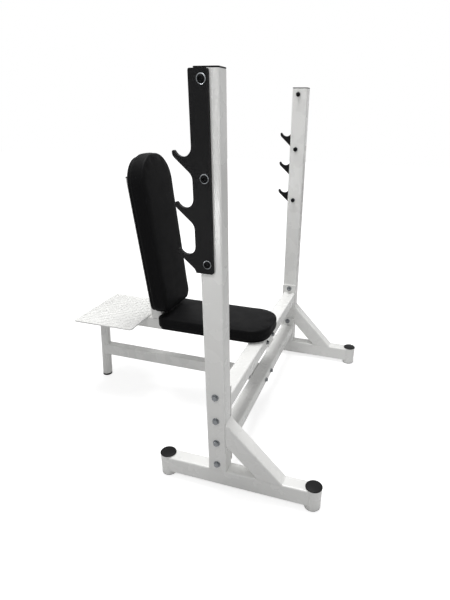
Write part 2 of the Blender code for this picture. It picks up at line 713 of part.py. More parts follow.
def back_support():
    """The leaning back support tube, mitred on the seat beam, and its top cap."""
    length = (SUPPORT_TOP_Z - SEAT_BEAM_TOP) / math.cos(LEAN)
    extra = SUPPORT_DEPTH
    ob = box_tube("back_support", CENTRE_WIDTH, SUPPORT_DEPTH, length + extra)
    ob.matrix_world = lean_matrix((length - extra) / 2, -SUPPORT_DEPTH / 2)
    floor = block_cutter("back_support_mitre", (-CUT_LENGTH, -CUT_LENGTH, SEAT_BEAM_TOP - CUT_LENGTH),
                         (CUT_LENGTH, 2 * CUT_LENGTH, SEAT_BEAM_TOP + GAP))
    keep(cut(ob, floor), white_steel)
    cap = prism("back_support_cap", [rectangle(CENTRE_WIDTH, SUPPORT_DEPTH, TUBE_CORNER)], END_CAP_HEIGHT)
    play = 2 * (TUBE_WALL + GAP)
    plug = prism("back_support_plug", [rectangle(CENTRE_WIDTH - play, SUPPORT_DEPTH - play,
                                                 TUBE_CORNER - TUBE_WALL)], PLUG_DEPTH)
    plug.location.z = -PLUG_DEPTH / 2
    cap = join(cap, plug)
    cap.matrix_world = lean_matrix(length + GAP + END_CAP_HEIGHT / 2, -SUPPORT_DEPTH / 2)
    keep(cap, black_plastic)


def upright_turn():
    """Turn that stands a piece drawn in local XY up, with its local Z towards the user."""
    return Matrix.Rotation(math.pi / 2, 4, "X")


def back_bracket():
    """The steel plate on the back support that the backrest board is screwed to."""
    ob = plate_solid("back_bracket", BRACKET_WIDTH, BRACKET_LENGTH, BRACKET_THICKNESS,
                     BRACKET_CORNER)
    along = (BRACKET_MIDDLE_Z - SEAT_BEAM_TOP) / math.cos(LEAN)
    ob.matrix_world = lean_matrix(along, GAP + BRACKET_THICKNESS / 2) @ upright_turn()
    keep(ob, white_steel)


def pad_outline(width, length, low_corner, high_corner, inset, steps):
    """A pad's outline from length 0 up, drawn in by an inset."""
    low = max(low_corner - inset, SMALLEST_CORNER)
    high = max(high_corner - inset, SMALLEST_CORNER)
    return rounded_outline(-width / 2 + inset, width / 2 - inset, inset, length - inset, low, high, steps)


def cushion(name, width, length, low_corner, high_corner, thickness):
    """A crowned cushion with drawn-in sides, from a coarse cage smoothed by subdivision."""
    rings = [(PAD_TUCK * share, thickness * height) for share, height in PAD_SIDE_RINGS]
    rings += [(inset, thickness - PAD_CROWN * drop) for inset, drop in PAD_EDGE_RINGS]
    rings += [(width * share, thickness - PAD_CROWN * drop) for share, drop in PAD_TOP_RINGS]
    shape = bmesh.new()
    loops = []
    for inset, height in rings:
        outline = pad_outline(width, length, low_corner, high_corner, inset, PAD_STEPS)
        loops.append([shape.verts.new((x, y, height)) for x, y in outline])
    count = len(loops[0])
    for low, high in zip(loops, loops[1:]):
        for i in range(count):
            j = (i + 1) % count
            shape.faces.new((low[i], low[j], high[j], high[i]))
    shape.faces.new(list(reversed(loops[0])))
    shape.faces.new(loops[-1])
    mesh = bpy.data.meshes.new(name)
    shape.to_mesh(mesh)
    shape.free()
    ob = bpy.data.objects.new(name, mesh)
    parts.objects.link(ob)
    smooth = ob.modifiers.new("Smooth", "SUBSURF")
    smooth.levels = 1
    smooth.render_levels = 1
    return shade(ob, PAD_SMOOTH_ANGLE)


def board(name, width, length, low_corner, high_corner, thickness):
    """The plywood board that a cushion is built on."""
    outline = pad_outline(width, length, low_corner, high_corner, BOARD_INSET, PAD_STEPS)
    return prism(name, [outline], thickness)


def backrest():
    """The backrest board and its tall cushion, leaning on the back support."""
    sizes = (BACK_PAD_WIDTH, BACK_PAD_LENGTH, BACK_BOTTOM_CORNER, BACK_TOP_CORNER)
    along = (BACK_PAD_BOTTOM_Z - SEAT_BEAM_TOP) / math.cos(LEAN)
    behind = BRACKET_THICKNESS + 2 * GAP
    wood = board("back_board", *sizes, BOARD_THICKNESS)
    wood.matrix_world = lean_matrix(along, behind + BOARD_THICKNESS / 2) @ upright_turn()
    keep(wood, dark_board)
    pad = cushion("back_pad", *sizes, BACK_PAD_THICKNESS)
    pad.matrix_world = lean_matrix(along, behind + BOARD_THICKNESS + GAP) @ upright_turn()
    keep(pad, black_vinyl)


def seat():
    """The seat board and its cushion, flat on the seat beam and the upper cross beam."""
    sizes = (SEAT_PAD_WIDTH, SEAT_REAR_Y - SEAT_FRONT_Y, SEAT_FRONT_CORNER, SEAT_REAR_CORNER)
    base = SEAT_BEAM_TOP + GAP
    wood = board("seat_board", *sizes, SEAT_BOARD_THICKNESS)
    wood.location = (0.0, SEAT_FRONT_Y, base + SEAT_BOARD_THICKNESS / 2)
    keep(wood, dark_board)
    pad = cushion("seat_pad", *sizes, SEAT_PAD_THICKNESS)
    pad.location = (0.0, SEAT_FRONT_Y, base + SEAT_BOARD_THICKNESS + GAP)
    keep(pad, black_vinyl)


def platform():
    """The tread plate that a spotter stands on."""
    ob = plate_solid("spotter_platform", PLATFORM_WIDTH, PLATFORM_REAR_Y - PLATFORM_FRONT_Y,
                     PLATFORM_THICKNESS, PLATFORM_CORNER)
    ob.location = (0.0, (PLATFORM_FRONT_Y + PLATFORM_REAR_Y) / 2,
                   SEAT_BEAM_TOP + GAP + PLATFORM_THICKNESS / 2)
    keep(ob, tread_plate)


def centre_on_floor():
    """Move the whole bench so that its origin is at the middle of its floor area."""
    bpy.context.view_layer.update()
    graph = bpy.context.evaluated_depsgraph_get()
    reach = []
    for ob in parts.objects:
        shape = ob.evaluated_get(graph)
        reach += [(shape.matrix_world @ Vector(corner)).y for corner in shape.bound_box]
    middle = (min(reach) + max(reach)) / 2
    for ob in list(parts.objects) + list(cutters.objects):
        ob.location.y -= middle


clear_scene()
parts = new_collection("shoulder_press_bench")
cutters = new_collection("cutters")

white_steel = new_material("white_steel", (0.82, 0.82, 0.81), 0.35, 0.0)
black_steel = new_material("black_steel", (0.015, 0.015, 0.016), 0.40, 0.0)
zinc_steel = new_material("zinc_steel", (0.60, 0.61, 0.62), 0.30, 1.0)
dark_steel = new_material("dark_steel", (0.10, 0.10, 0.11), 0.40, 1.0)
black_plastic = new_material("black_plastic", (0.010, 0.010, 0.011), 0.45, 0.0)
black_rubber = new_material("black_rubber", (0.008, 0.008, 0.008), 0.80, 0.0)
black_vinyl = new_material("black_vinyl", (0.012, 0.012, 0.013), 0.45, 0.0)
dark_board = new_material("dark_board", (0.030, 0.025, 0.022), 0.70, 0.0)
tread_plate = new_material("tread_plate", (0.80, 0.80, 0.80), 0.40, 0.0)

for hand in SIDES:
    upright(*hand)
    upright_cap(*hand)
    foot_rail(*hand)
    brace(*hand)
    foot_post(*hand, "front", FRONT_POST_Y)
    foot_post(*hand, "rear", REAR_POST_Y)
    hook_plate(*hand)
hook_bolts()
frame_bolts()
beam_bolts()
cross_beam("upper_cross_beam", UPPER_BEAM_Z, UPPER_BEAM_HEIGHT, UPPER_BEAM_TOP)
cross_beam("lower_cross_beam", LOWER_BEAM_Z, LOWER_BEAM_HEIGHT, LOWER_BEAM_Z + LOWER_BEAM_HEIGHT / 2)
seat_beam()
stretcher()
rear_leg()
back_support()
back_bracket()
backrest()
seat()
platform()
centre_on_floor()
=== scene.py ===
"""Looks of the seated shoulder press bench, laid out as an add-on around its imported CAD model."""
import json
import math

import bmesh
import bpy
from mathutils import Matrix, Vector


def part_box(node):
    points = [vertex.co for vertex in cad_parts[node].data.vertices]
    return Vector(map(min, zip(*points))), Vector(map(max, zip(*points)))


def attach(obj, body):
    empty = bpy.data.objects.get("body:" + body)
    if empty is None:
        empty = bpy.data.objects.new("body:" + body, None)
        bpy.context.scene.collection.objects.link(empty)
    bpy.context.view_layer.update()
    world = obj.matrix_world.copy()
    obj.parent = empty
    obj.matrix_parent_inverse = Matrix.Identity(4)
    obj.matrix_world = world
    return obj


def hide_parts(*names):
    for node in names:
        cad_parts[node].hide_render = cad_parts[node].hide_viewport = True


bl_info = {
    "name": "Shoulder Press Bench Looks",
    "version": (1, 0, 0),
    "blender": (4, 5, 0),
    "location": "View3D > Sidebar > Bench",
    "description": "Cushions, tread plate, welds, fasteners, finishes and stage for the press bench",
    "category": "Object",
}

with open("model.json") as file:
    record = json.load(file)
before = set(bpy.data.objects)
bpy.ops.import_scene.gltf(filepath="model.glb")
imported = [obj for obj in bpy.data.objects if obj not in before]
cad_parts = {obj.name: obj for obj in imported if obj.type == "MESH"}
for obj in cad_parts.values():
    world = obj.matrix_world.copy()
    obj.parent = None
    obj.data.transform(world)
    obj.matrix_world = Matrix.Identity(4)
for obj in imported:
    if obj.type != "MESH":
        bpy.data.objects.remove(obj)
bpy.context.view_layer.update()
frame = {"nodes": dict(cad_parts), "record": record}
NODES = frame["nodes"]
BODY = "root"
SIDES = ((-1, "right"), (1, "left"))
MM = 0.001
# What lies on steel in the CAD model stands off it by this much
GAP = 0.3 * MM
WASHER_PLAY = 0.4 * MM
CLOTH_FRAMES = 20
# Finish and edge rounding of the CAD nodes, by the record's material slot
SLOT_FINISHES = {"black_plastic": ("moulded_pe_plastic", 0.5 * MM),
                 "black_rubber": ("moulded_rubber", 0.5 * MM),
                 "dark_board": ("backing_cloth", 0.5 * MM), "zinc_steel": ("zinc_plated_steel", 0.3 * MM),
                 "dark_steel": ("zinc_plated_steel", 0.3 * MM),
                 "tread_plate": ("white_powder_coated_steel", 0.5 * MM)}


def srgb(code):
    """Turn an sRGB hex colour into linear red, green and blue."""
    values = [int(code[i:i + 2], 16) / 255 for i in (1, 3, 5)]
    return tuple(v / 12.92 if v <= 0.04045 else ((v + 0.055) / 1.055) ** 2.4 for v in values)


def colour_property(name, description, code):
    """A colour that a user can change, given as sRGB hex."""
    return bpy.props.FloatVectorProperty(name=name, description=description, subtype="COLOR", size=3,
                                         min=0.0, max=1.0, default=srgb(code))


def number_property(name, description, value, **kind):
    """A number that a user can change, such as a power or an angle."""
    return bpy.props.FloatProperty(name=name, description=description, default=value, **kind)


def length_property(name, description, size):
    """A length in metres that a user can change."""
    return number_property(name, description, size, min=0.0, subtype="DISTANCE", unit="LENGTH", precision=5)


class BenchFrameLooks(bpy.types.PropertyGroup):
    """Finish of the steel frame and its welds."""
    powder_white: colour_property("White powder coat", "Colour of the frame tubes", "#EEEEEC")
    powder_black: colour_property("Black powder coat", "Colour of the hook plates", "#151516")
    edge_round: length_property("Edge rounding", "Radius that the powder coat gives a cut edge", 0.7 * MM)
    weld_radius: length_property("Weld radius", "Half the width of a weld bead", 2.4 * MM)
    weld_pitch: length_property("Weld ripple", "Distance between two ripples of a weld", 2.6 * MM)


class BenchCushionLooks(bpy.types.PropertyGroup):
    """Shape and finish of the two upholstered cushions."""
    vinyl: colour_property("Vinyl", "Colour of the cushion covers", "#0E0E0F")
    voxel: length_property("Remesh size", "Size of the cloth's cells before it is inflated", 5.0 * MM)
    swell: length_property("Swell", "The most that the foam may push the cover out", 3.0 * MM)
    edge: length_property("Top edge", "Radius of the cushion's top edge", 8.0 * MM)
    flare: length_property("Flare", "How far the top edge stands out before the sides swell", 2.5 * MM)
    back_edge: length_property("Back edge", "Radius of the edge next to the board", 6.0 * MM)
    grain: length_property("Grain", "Width of one cell of the vinyl's grain", 1.6 * MM)


class BenchTreadLooks(bpy.types.PropertyGroup):
    """Sizes of the raised pattern on the spotter platform."""
    pitch: length_property("Pitch", "Distance between two raised bars", 24.0 * MM)
    length: length_property("Bar length", "Length of a raised bar", 25.0 * MM)
    width: length_property("Bar width", "Width of a raised bar at its foot", 7.6 * MM)
    height: length_property("Bar height", "How far a bar stands out of the plate", 1.5 * MM)


class BenchFastenerLooks(bpy.types.PropertyGroup):
    """Sizes and finishes of bolts, washers and nuts."""
    zinc: colour_property("Zinc plate", "Colour of the zinc-plated fasteners", "#8E9194")
    oxide: colour_property("Black oxide", "Colour of the blackened fasteners", "#161617")
    bolt_radius: length_property("Frame bolt radius", "M12 bolts of the uprights", 6.0 * MM)
    washer_radius: length_property("Frame washer radius", "Washers of the M12 bolts", 13.5 * MM)
    button_radius: length_property("Button head radius", "Heads of the hook bolts", 11.0 * MM)
    button_height: length_property("Button head height", "Heads of the hook bolts", 6.5 * MM)
    hex_radius: length_property("Hex radius", "Corner radius of the M12 heads and nuts", 11.0 * MM)
    beam_bolt_radius: length_property("Beam bolt radius", "M10 bolts of the cross beams", 5.0 * MM)
    beam_washer_radius: length_property("Beam washer radius", "Washers of the M10 bolts", 11.5 * MM)
    beam_hex_radius: length_property("Beam hex radius", "Corner radius of the M10 heads and nuts", 9.5 * MM)
    washer_thickness: length_property("Washer thickness", "Thickness of every washer", 2.5 * MM)
    head_height: length_property("Head height", "Height of a hex head", 7.5 * MM)
    nut_height: length_property("Nut height", "Height of a nut", 10.0 * MM)
    dome_height: length_property("Nut dome height", "How far a cap nut's dome stands over its hex", 8.0 * MM)
    pitch: length_property("Thread pitch", "Distance between two threads", 1.75 * MM)


class BenchStageLooks(bpy.types.PropertyGroup):
    """Camera, lamps and background."""
    camera_place: bpy.props.FloatVectorProperty(
        name="Camera place", description="Where the camera stands", subtype="TRANSLATION",
        unit="LENGTH", size=3, default=(-1.8287, -0.7812, 1.3640))
    heading: number_property("Heading", "Turn of the view from +X towards +Y", math.radians(17.2305),
                             subtype="ANGLE")
    pitch: number_property("Pitch", "How far the view looks up", math.radians(-26.3988), subtype="ANGLE")
    roll: number_property("Roll", "Turn about the view's own axis", math.radians(0.7792), subtype="ANGLE")
    lens: number_property("Lens", "Focal length in millimetres", 26.586, min=1.0, unit="CAMERA")
    shift: bpy.props.FloatVectorProperty(name="Shift", description="Shift of the picture's centre",
                                         size=2, default=(-0.0456, 0.0504))
    key_power: number_property("Key lamp", "Power of the lamp overhead", 88.0, subtype="POWER", min=0.0)
    upper_power: number_property("Upper side lamp", "Power of the lamp by the hooks", 9.7, subtype="POWER",
                                 min=0.0)
    shine_power: number_property("Shine lamp", "Power of the small lamp that the near upright mirrors", 0.65,
                                 subtype="POWER", min=0.0)
    front_power: number_property("Front lamp", "Power of the lamp before the bench", 10.3, subtype="POWER",
                                 min=0.0)
    sky: number_property("Studio light", "Strength of the even light", 0.29, min=0.0)
    backdrop: colour_property("Floor", "Colour of the studio floor", "#CFCFCF")
    glow: number_property("Floor lift", "What lifts the floor to white in the picture", 0.7, min=0.0)
    mirrored: number_property("Mirrored floor lift", "What lifts the floor to white in reflections", 0.2,
                              min=0.0)


def add_node(tree, kind, inputs=None, **settings):
    """Add a shader node, set it up, and set or link its inputs."""
    node = tree.nodes.new(kind)
    for key, value in settings.items():
        setattr(node, key, value)
    for key, value in (inputs or {}).items():
        if isinstance(value, bpy.types.NodeSocket):
            tree.links.new(value, node.inputs[key])
        else:
            node.inputs[key].default_value = value
    return node


def new_finish(name):
    """Start a material and give its tree, its shader and the object coordinates."""
    made = bpy.data.materials.new(name)
    made.use_nodes = True
    tree = made.node_tree
    shader = tree.nodes["Principled BSDF"]
    place = add_node(tree, "ShaderNodeTexCoord").outputs["Object"]
    return made, tree, shader, place


def per_metre(millimetres):
    """Texture scale whose features are about this many millimetres wide."""
    return 1.0 / (millimetres * MM)


def scaled(colour, share):
    """A colour made darker or lighter."""
    return tuple(min(1.0, c * share) for c in colour)


def surface(made, tone, dark, light, relief, sheen=None):
    """Wire a finish: one pattern blends its colours, one gives its relief and one may set its roughness."""
    tree = made.node_tree
    inputs = tree.nodes["Principled BSDF"].inputs
    blend = add_node(tree, "ShaderNodeMix", {0: tone, 6: (*dark, 1.0), 7: (*light, 1.0)}, data_type="RGBA")
    height, strength, depth = relief
    bump = add_node(tree, "ShaderNodeBump", {"Height": height, "Strength": strength, "Distance": depth * MM})
    tree.links.new(blend.outputs[2], inputs["Base Color"])
    tree.links.new(bump.outputs["Normal"], inputs["Normal"])
    if sheen:
        pattern, smoothest, roughest = sheen
        gloss = add_node(tree, "ShaderNodeMapRange", {"Value": pattern, "From Min": 0.3, "From Max": 0.7,
                                                      "To Min": smoothest, "To Max": roughest})
        tree.links.new(gloss.outputs["Result"], inputs["Roughness"])
    return made


def powder_coat(name, colour, gloss):
    """Powder-coated steel: baked polyester powder, which leaves a fine orange peel and soft gloss."""
    made, tree, _, place = new_finish(name)
    # Orange peel of baked powder is 2 to 3 mm across and a few hundredths deep
    peel = add_node(tree, "ShaderNodeTexNoise", {"Vector": place, "Scale": per_metre(2.6), "Detail": 2.0,
                                                 "Roughness": 0.45}).outputs["Fac"]
    # Film thickness drifts over a hand's breadth, which shifts tone and gloss by a few per cent
    drift = add_node(tree, "ShaderNodeTexNoise", {"Vector": place, "Scale": per_metre(90.0),
                                                  "Detail": 3.0}).outputs["Fac"]
    return surface(made, drift, scaled(colour, 0.965), scaled(colour, 1.02),
                   (peel, 0.10, 0.25), (drift, gloss - 0.05, gloss + 0.06))


def textured_powder(name, colour):
    """Fine-texture black powder coat: a wrinkled matt film that hides the plate's cut edges."""
    made, tree, shader, place = new_finish(name)
    shader.inputs["Specular IOR Level"].default_value = 0.10
    # The wrinkles of this powder are about 0.5 mm, drawn at 0.9 mm so that they show
    wrinkle = add_node(tree, "ShaderNodeTexNoise", {"Vector": place, "Scale": per_metre(0.9),
                                                    "Detail": 2.0}).outputs["Fac"]
    # Its film drifts over a few centimetres
    drift = add_node(tree, "ShaderNodeTexNoise", {"Vector": place, "Scale": per_metre(60.0),
                                                  "Detail": 2.0}).outputs["Fac"]
    return surface(made, drift, scaled(colour, 0.9), scaled(colour, 1.12), (wrinkle, 0.30, 0.15),
                   (wrinkle, 0.42, 0.56))


def plated_steel(name, colour, roughness):
    """Plated steel, zinc or black oxide: metal with a fine, cloudy bloom from the bath."""
    made, tree, shader, place = new_finish(name)
    shader.inputs["Metallic"].default_value = 1.0
    # Bath bloom clouds the plating over 3 to 5 mm
    bloom = add_node(tree, "ShaderNodeTexNoise", {"Vector": place, "Scale": per_metre(4.0),
                                                  "Detail": 4.0}).outputs["Fac"]
    # Tool and tumbling marks are tenths of a millimetre wide, drawn at 0.7 mm so that they show
    marks = add_node(tree, "ShaderNodeTexNoise", {"Vector": place, "Scale": per_metre(0.7),
                                                  "Detail": 1.0}).outputs["Fac"]
    return surface(made, bloom, scaled(colour, 0.86), scaled(colour, 1.08),
                   (marks, 0.12, 0.05), (bloom, roughness - 0.06, roughness + 0.10))


def leatherette(name, colour, grain):
    """PVC leatherette: embossed pebble grain on soft vinyl, with a painted highlight on the grain's tops and
    painted shade in its creases.
    """
    made, tree, shader, place = new_finish(name)
    shader.inputs["Specular IOR Level"].default_value = 0.05
    # Embossed pebbles, each one grain wide, with creases between them; the same mask gives the relief and
    # also paints the tops lighter as a painted highlight and the creases darker as painted shade
    warp = add_node(tree, "ShaderNodeTexNoise", {"Vector": place, "Scale": 0.6 / grain, "Detail": 2.0})
    shifted = add_node(tree, "ShaderNodeVectorMath", {0: warp.outputs["Color"], "Scale": 0.35 * grain},
                       operation="SCALE")
    moved = add_node(tree, "ShaderNodeVectorMath", {0: place, 1: shifted.outputs["Vector"]}, operation="ADD")
    pebble = add_node(tree, "ShaderNodeTexVoronoi", {"Vector": moved.outputs["Vector"], "Scale": 1.0 / grain},
                      feature="SMOOTH_F1")
    pebble_relief_and_painted_shade = add_node(tree, "ShaderNodeMapRange", {"Value": pebble.outputs["Distance"], "From Min": 0.25,
                                                   "From Max": 0.75, "To Min": 1.0,
                                                   "To Max": 0.0}).outputs["Result"]
    # The cover is stretched by hand, so the sheen varies over a few centimetres
    pull = add_node(tree, "ShaderNodeTexNoise", {"Vector": place, "Scale": per_metre(45.0),
                                                 "Detail": 3.0}).outputs["Fac"]
    # Painted light: the colour is lighter on pebble tops (painted highlight) and darker in the creases
    # (painted shade)
    return surface(made, pebble_relief_and_painted_shade, scaled(colour, 0.80), scaled(colour, 1.10), (pebble_relief_and_painted_shade, 0.35, 0.18),
                   (pull, 0.48, 0.58))


def moulded(name, code, roughness, grit):
    """Moulded plastic or rubber: a spark-eroded mould leaves an even, fine grit."""
    made, tree, shader, place = new_finish(name)
    shader.inputs["Specular IOR Level"].default_value = 0.12
    texture = add_node(tree, "ShaderNodeTexNoise", {"Vector": place, "Scale": per_metre(grit),
                                                    "Detail": 2.0}).outputs["Fac"]
    return surface(made, texture, scaled(srgb(code), 0.88), scaled(srgb(code), 1.12),
                   (texture, 0.25, 0.08), (texture, roughness - 0.06, roughness + 0.06))


def backing_cloth(name):
    """Spun-bonded backing cloth: pressed polypropylene fibre, dotted where the rollers fused it."""
    made, tree, shader, place = new_finish(name)
    shader.inputs["Roughness"].default_value = 0.9
    # Fused dots lie about 2.5 mm apart
    dots = add_node(tree, "ShaderNodeTexVoronoi", {"Vector": place, "Scale": per_metre(2.5)})
    fibre = add_node(tree, "ShaderNodeTexNoise", {"Vector": place, "Scale": per_metre(0.8),
                                                  "Detail": 4.0}).outputs["Fac"]
    height = add_node(tree, "ShaderNodeMath", {0: dots.outputs["Distance"], 1: fibre}, operation="ADD")
    return surface(made, fibre, srgb("#141414"), srgb("#242424"), (height.outputs["Value"], 0.4, 0.12))


def finish(name):
    """Give a finish by its name, made the first time that a piece asks for it."""
    scene = bpy.context.scene
    looks, pads, metal = scene.bench_frame, scene.bench_cushions, scene.bench_fasteners
    if name in bpy.data.materials:
        return bpy.data.materials[name]
    makers = {
        "white_powder_coated_steel": lambda: powder_coat(name, tuple(looks.powder_white), 0.27),
        "black_textured_powder_coat": lambda: textured_powder(name, tuple(looks.powder_black)),
        "zinc_plated_steel": lambda: plated_steel(name, tuple(metal.zinc), 0.24),
        "black_oxide_steel": lambda: plated_steel(name, tuple(metal.oxide), 0.46),
        "pvc_leatherette": lambda: leatherette(name, tuple(pads.vinyl), pads.grain),
        "moulded_pe_plastic": lambda: moulded(name, "#131314", 0.42, 0.8),
        "moulded_rubber": lambda: moulded(name, "#101010", 0.74, 1.2),
        "backing_cloth": lambda: backing_cloth(name),
    }
    return makers[name]()


def wear(piece, *names):
    """Put finishes into an object's material slots."""
    piece.data.materials.clear()
    for name in names:
        piece.data.materials.append(finish(name))
    return piece


def select_only(*pieces):
    """Select these objects alone and make the last one active."""
    if bpy.context.object and bpy.context.object.mode != "OBJECT":
        bpy.ops.object.mode_set(mode="OBJECT")
    bpy.ops.object.select_all(action="DESELECT")
    for piece in pieces:
        piece.select_set(True)
    bpy.context.view_layer.objects.active = pieces[-1] if pieces else None


def fresh(name):
    """Name the primitive that was just added and give it back."""
    piece = bpy.context.object
    piece.name = name
    piece.data.name = name
    return piece


def edit(piece, mode="EDGE"):
    """Go into edit mode on one object with nothing selected."""
    select_only(piece)
    bpy.ops.object.mode_set(mode="EDIT")
    bpy.ops.mesh.select_mode(type=mode)
    bpy.ops.mesh.select_all(action="DESELECT")


def pick(piece, kind, test):
    """Select the faces, edges or vertices of the edited mesh that pass a test."""
    shape = bmesh.from_edit_mesh(piece.data)
    items = {"VERT": shape.verts, "EDGE": shape.edges, "FACE": shape.faces}[kind]
    for item in items:
        if test(item):
            item.select_set(True)
    shape.select_flush_mode()
    bmesh.update_edit_mesh(piece.data)


def leave(piece):
    """Leave edit mode."""
    bpy.ops.object.mode_set(mode="OBJECT")
    return piece


def bevel(piece, test, width, segments):
    """Round the edges of a piece that pass a test."""
    edit(piece)
    pick(piece, "EDGE", test)
    bpy.ops.mesh.bevel(offset=width, segments=segments, affect="EDGES")
    return leave(piece)


def settle(piece, place=None):
    """Move a piece by a matrix, then put its place and turn into its mesh."""
    select_only(piece)
    if place is not None:
        piece.matrix_world = place @ piece.matrix_world
    bpy.ops.object.transform_apply(location=True, rotation=True, scale=True)
    return piece


def primitive(name, add, **shape):
    """Add a primitive with nothing else selected, and put its place into its mesh."""
    bpy.ops.object.select_all(action="DESELECT")
    add(**shape)
    return settle(fresh(name))


def block(name, low, high):
    """A box between two corners."""
    return primitive(name, bpy.ops.mesh.primitive_cube_add, size=1.0, location=(low + high) / 2,
                     scale=high - low)


def apply_all(piece):
    """Apply every modifier of a piece."""
    select_only(piece)
    for step in list(piece.modifiers):
        bpy.ops.object.modifier_apply(modifier=step.name)
    return piece


def smooth(piece, degrees=32.0):
    """Shade a piece smooth, with its hard edges kept."""
    select_only(piece)
    bpy.ops.object.shade_smooth_by_angle(angle=math.radians(degrees))
    return piece


def merge(name, pieces):
    """Join several pieces into one object."""
    select_only(*pieces)
    bpy.ops.object.join()
    return fresh(name)


def duplicate(piece, name, place):
    """Copy a piece with its own mesh to another place."""
    select_only(piece)
    bpy.ops.object.duplicate(linked=False)
    made = fresh(name)
    return settle(made, place)


def drop(piece):
    """Delete a helper object."""
    select_only(piece)
    bpy.ops.object.delete()


def carry(piece, slot, *nodes):
    """Make a piece part of the bench, in place of some CAD nodes if any are named."""
    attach(piece, BODY)
    if nodes:
        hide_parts(*nodes)
    return piece


def at(edge, axis, value, near=1e-5):
    """Tell whether both ends of an edge lie at a coordinate."""
    return all(abs(v.co[axis] - value) < near for v in edge.verts)


def upright(edge):
    """Tell whether an edge runs up and down."""
    return abs(edge.verts[0].co.z - edge.verts[1].co.z) > 0.001


def soften(node, width, degrees=34.0):
    """Round the edges of a CAD node a little, with modifiers alone."""
    piece = NODES[node]
    for face in piece.data.polygons:
        face.use_smooth = True
    weld = piece.modifiers.new("Merge", "WELD")
    weld.merge_threshold = 0.00002
    edge = piece.modifiers.new("Edge", "BEVEL")
    edge.width = width
    edge.segments = 2
    edge.limit_method = "ANGLE"
    edge.angle_limit = math.radians(degrees)
    edge.use_clamp_overlap = True
    flat = piece.modifiers.new("Flats", "WEIGHTED_NORMAL")
    flat.mode = "FACE_AREA"
    flat.weight = 80
    return piece


def combine(piece, other, operation):
    """Cut a piece with a helper, or keep what both share, and delete the helper."""
    step = piece.modifiers.new("Cut", "BOOLEAN")
    step.solver = "EXACT"
    step.operation = operation
    step.object = other
    apply_all(piece)
    drop(other)
    return piece


def rod(name, radius, low, high, vertices=40):
    """A round bar along Z."""
    return primitive(name, bpy.ops.mesh.primitive_cylinder_add, vertices=vertices, radius=radius,
                     depth=high - low, location=(0.0, 0.0, (low + high) / 2))


def round_rim(piece, z, width, segments=2):
    """Bevel the rim of a round or flat piece at a height."""
    return bevel(piece, lambda e: at(e, 2, z) and len(e.link_faces) == 2
                 and abs(e.link_faces[0].normal.z - e.link_faces[1].normal.z) > 0.5, width, segments)


def bored(piece, radius, low, high):
    """Drill a round hole along Z."""
    return combine(piece, rod(piece.name + "_drill", radius, low, high), "DIFFERENCE")


def washer(name, radius, bore, low, thickness):
    """A flat washer with softened rims."""
    ring = rod(name, radius, low, low + thickness, 48)
    for z in (low, low + thickness):
        round_rim(ring, z, 0.3 * MM)
    return bored(ring, bore, low - thickness, low + 2 * thickness)


def hexagon(name, radius, low, high, ends=1):
    """A hexagon along Z whose corners are turned off at 30 degrees, on its top or on both ends."""
    height, middle = high - low, (0.0, 0.0, (low + high) / 2)
    body = rod(name, radius, low, high, 6)
    narrow = radius * math.cos(math.radians(30.0)) * 0.97
    wide = narrow + height / math.tan(math.radians(30.0))
    for end in range(ends):
        cone = primitive(name + "_turning", bpy.ops.mesh.primitive_cone_add, vertices=48, radius1=wide,
                         radius2=narrow, depth=height, location=middle, rotation=(math.pi * end, 0.0, 0.0))
        combine(body, cone, "INTERSECT")
    return body


def repeat(piece, step):
    """Add an array of a piece, a fixed step apart."""
    row = piece.modifiers.new("Row", "ARRAY")
    row.use_relative_offset = False
    row.use_constant_offset = True
    row.constant_offset_displace = step
    return row


def thread(name, radius, low, high, pitch):
    """The threaded end of a bolt, as rings with sloping flanks."""
    ring = rod(name, radius, low, low + pitch, 24)
    for z in (low, low + pitch):
        round_rim(ring, z, pitch * 0.38, 1)
    repeat(ring, (0.0, 0.0, pitch)).count = max(1, round((high - low) / pitch))
    return apply_all(ring)


def bolt_place(node, outward, seat):
    """The frame of a fastener: Z points out of the steel, and Z = 0 is where its washer lies."""
    low, high = box_of(node)
    middle, outward = (low + high) / 2, Vector(outward)
    axis = max(range(3), key=lambda i: abs(outward[i]))
    middle[axis] = seat
    return Matrix.Translation(middle) @ outward.to_track_quat("Z", "Y").to_matrix().to_4x4()


def copies(master, places, slot):
    """Copy a finished fastener onto the CAD nodes that it stands for, and delete the master."""
    for node, place in places.items():
        carry(duplicate(master, node + "_detail", place), slot, node)
    drop(master)


def hex_bolt(name, radius, washer_radius, corner, length):
    """A zinc-plated hex bolt, its two washers and its nut, tightened on steel of the CAD bolt's grip."""
    metal = bpy.context.scene.bench_fasteners
    thick = metal.washer_thickness
    end = metal.head_height + thick - length
    nut_top = end + 3.0 * MM
    nut_low = nut_top + metal.nut_height
    bore = radius + WASHER_PLAY
    shank = round_rim(rod(name + "_shank", radius * 0.94, end, thick), end, 0.8 * MM, 1)
    steel = [hexagon(name + "_head", corner, thick, thick + metal.head_height), shank,
             thread(name + "_thread", radius, end + 0.5 * MM, nut_top, metal.pitch),
             hexagon(name + "_nut", corner, nut_top, nut_low, 2)]
    rings = [washer(name + "_washer", washer_radius, bore, 0.0, thick),
             washer(name + "_nut_washer", washer_radius, bore, nut_low, thick)]
    return smooth(wear(merge(name, steel + rings), "zinc_plated_steel"))


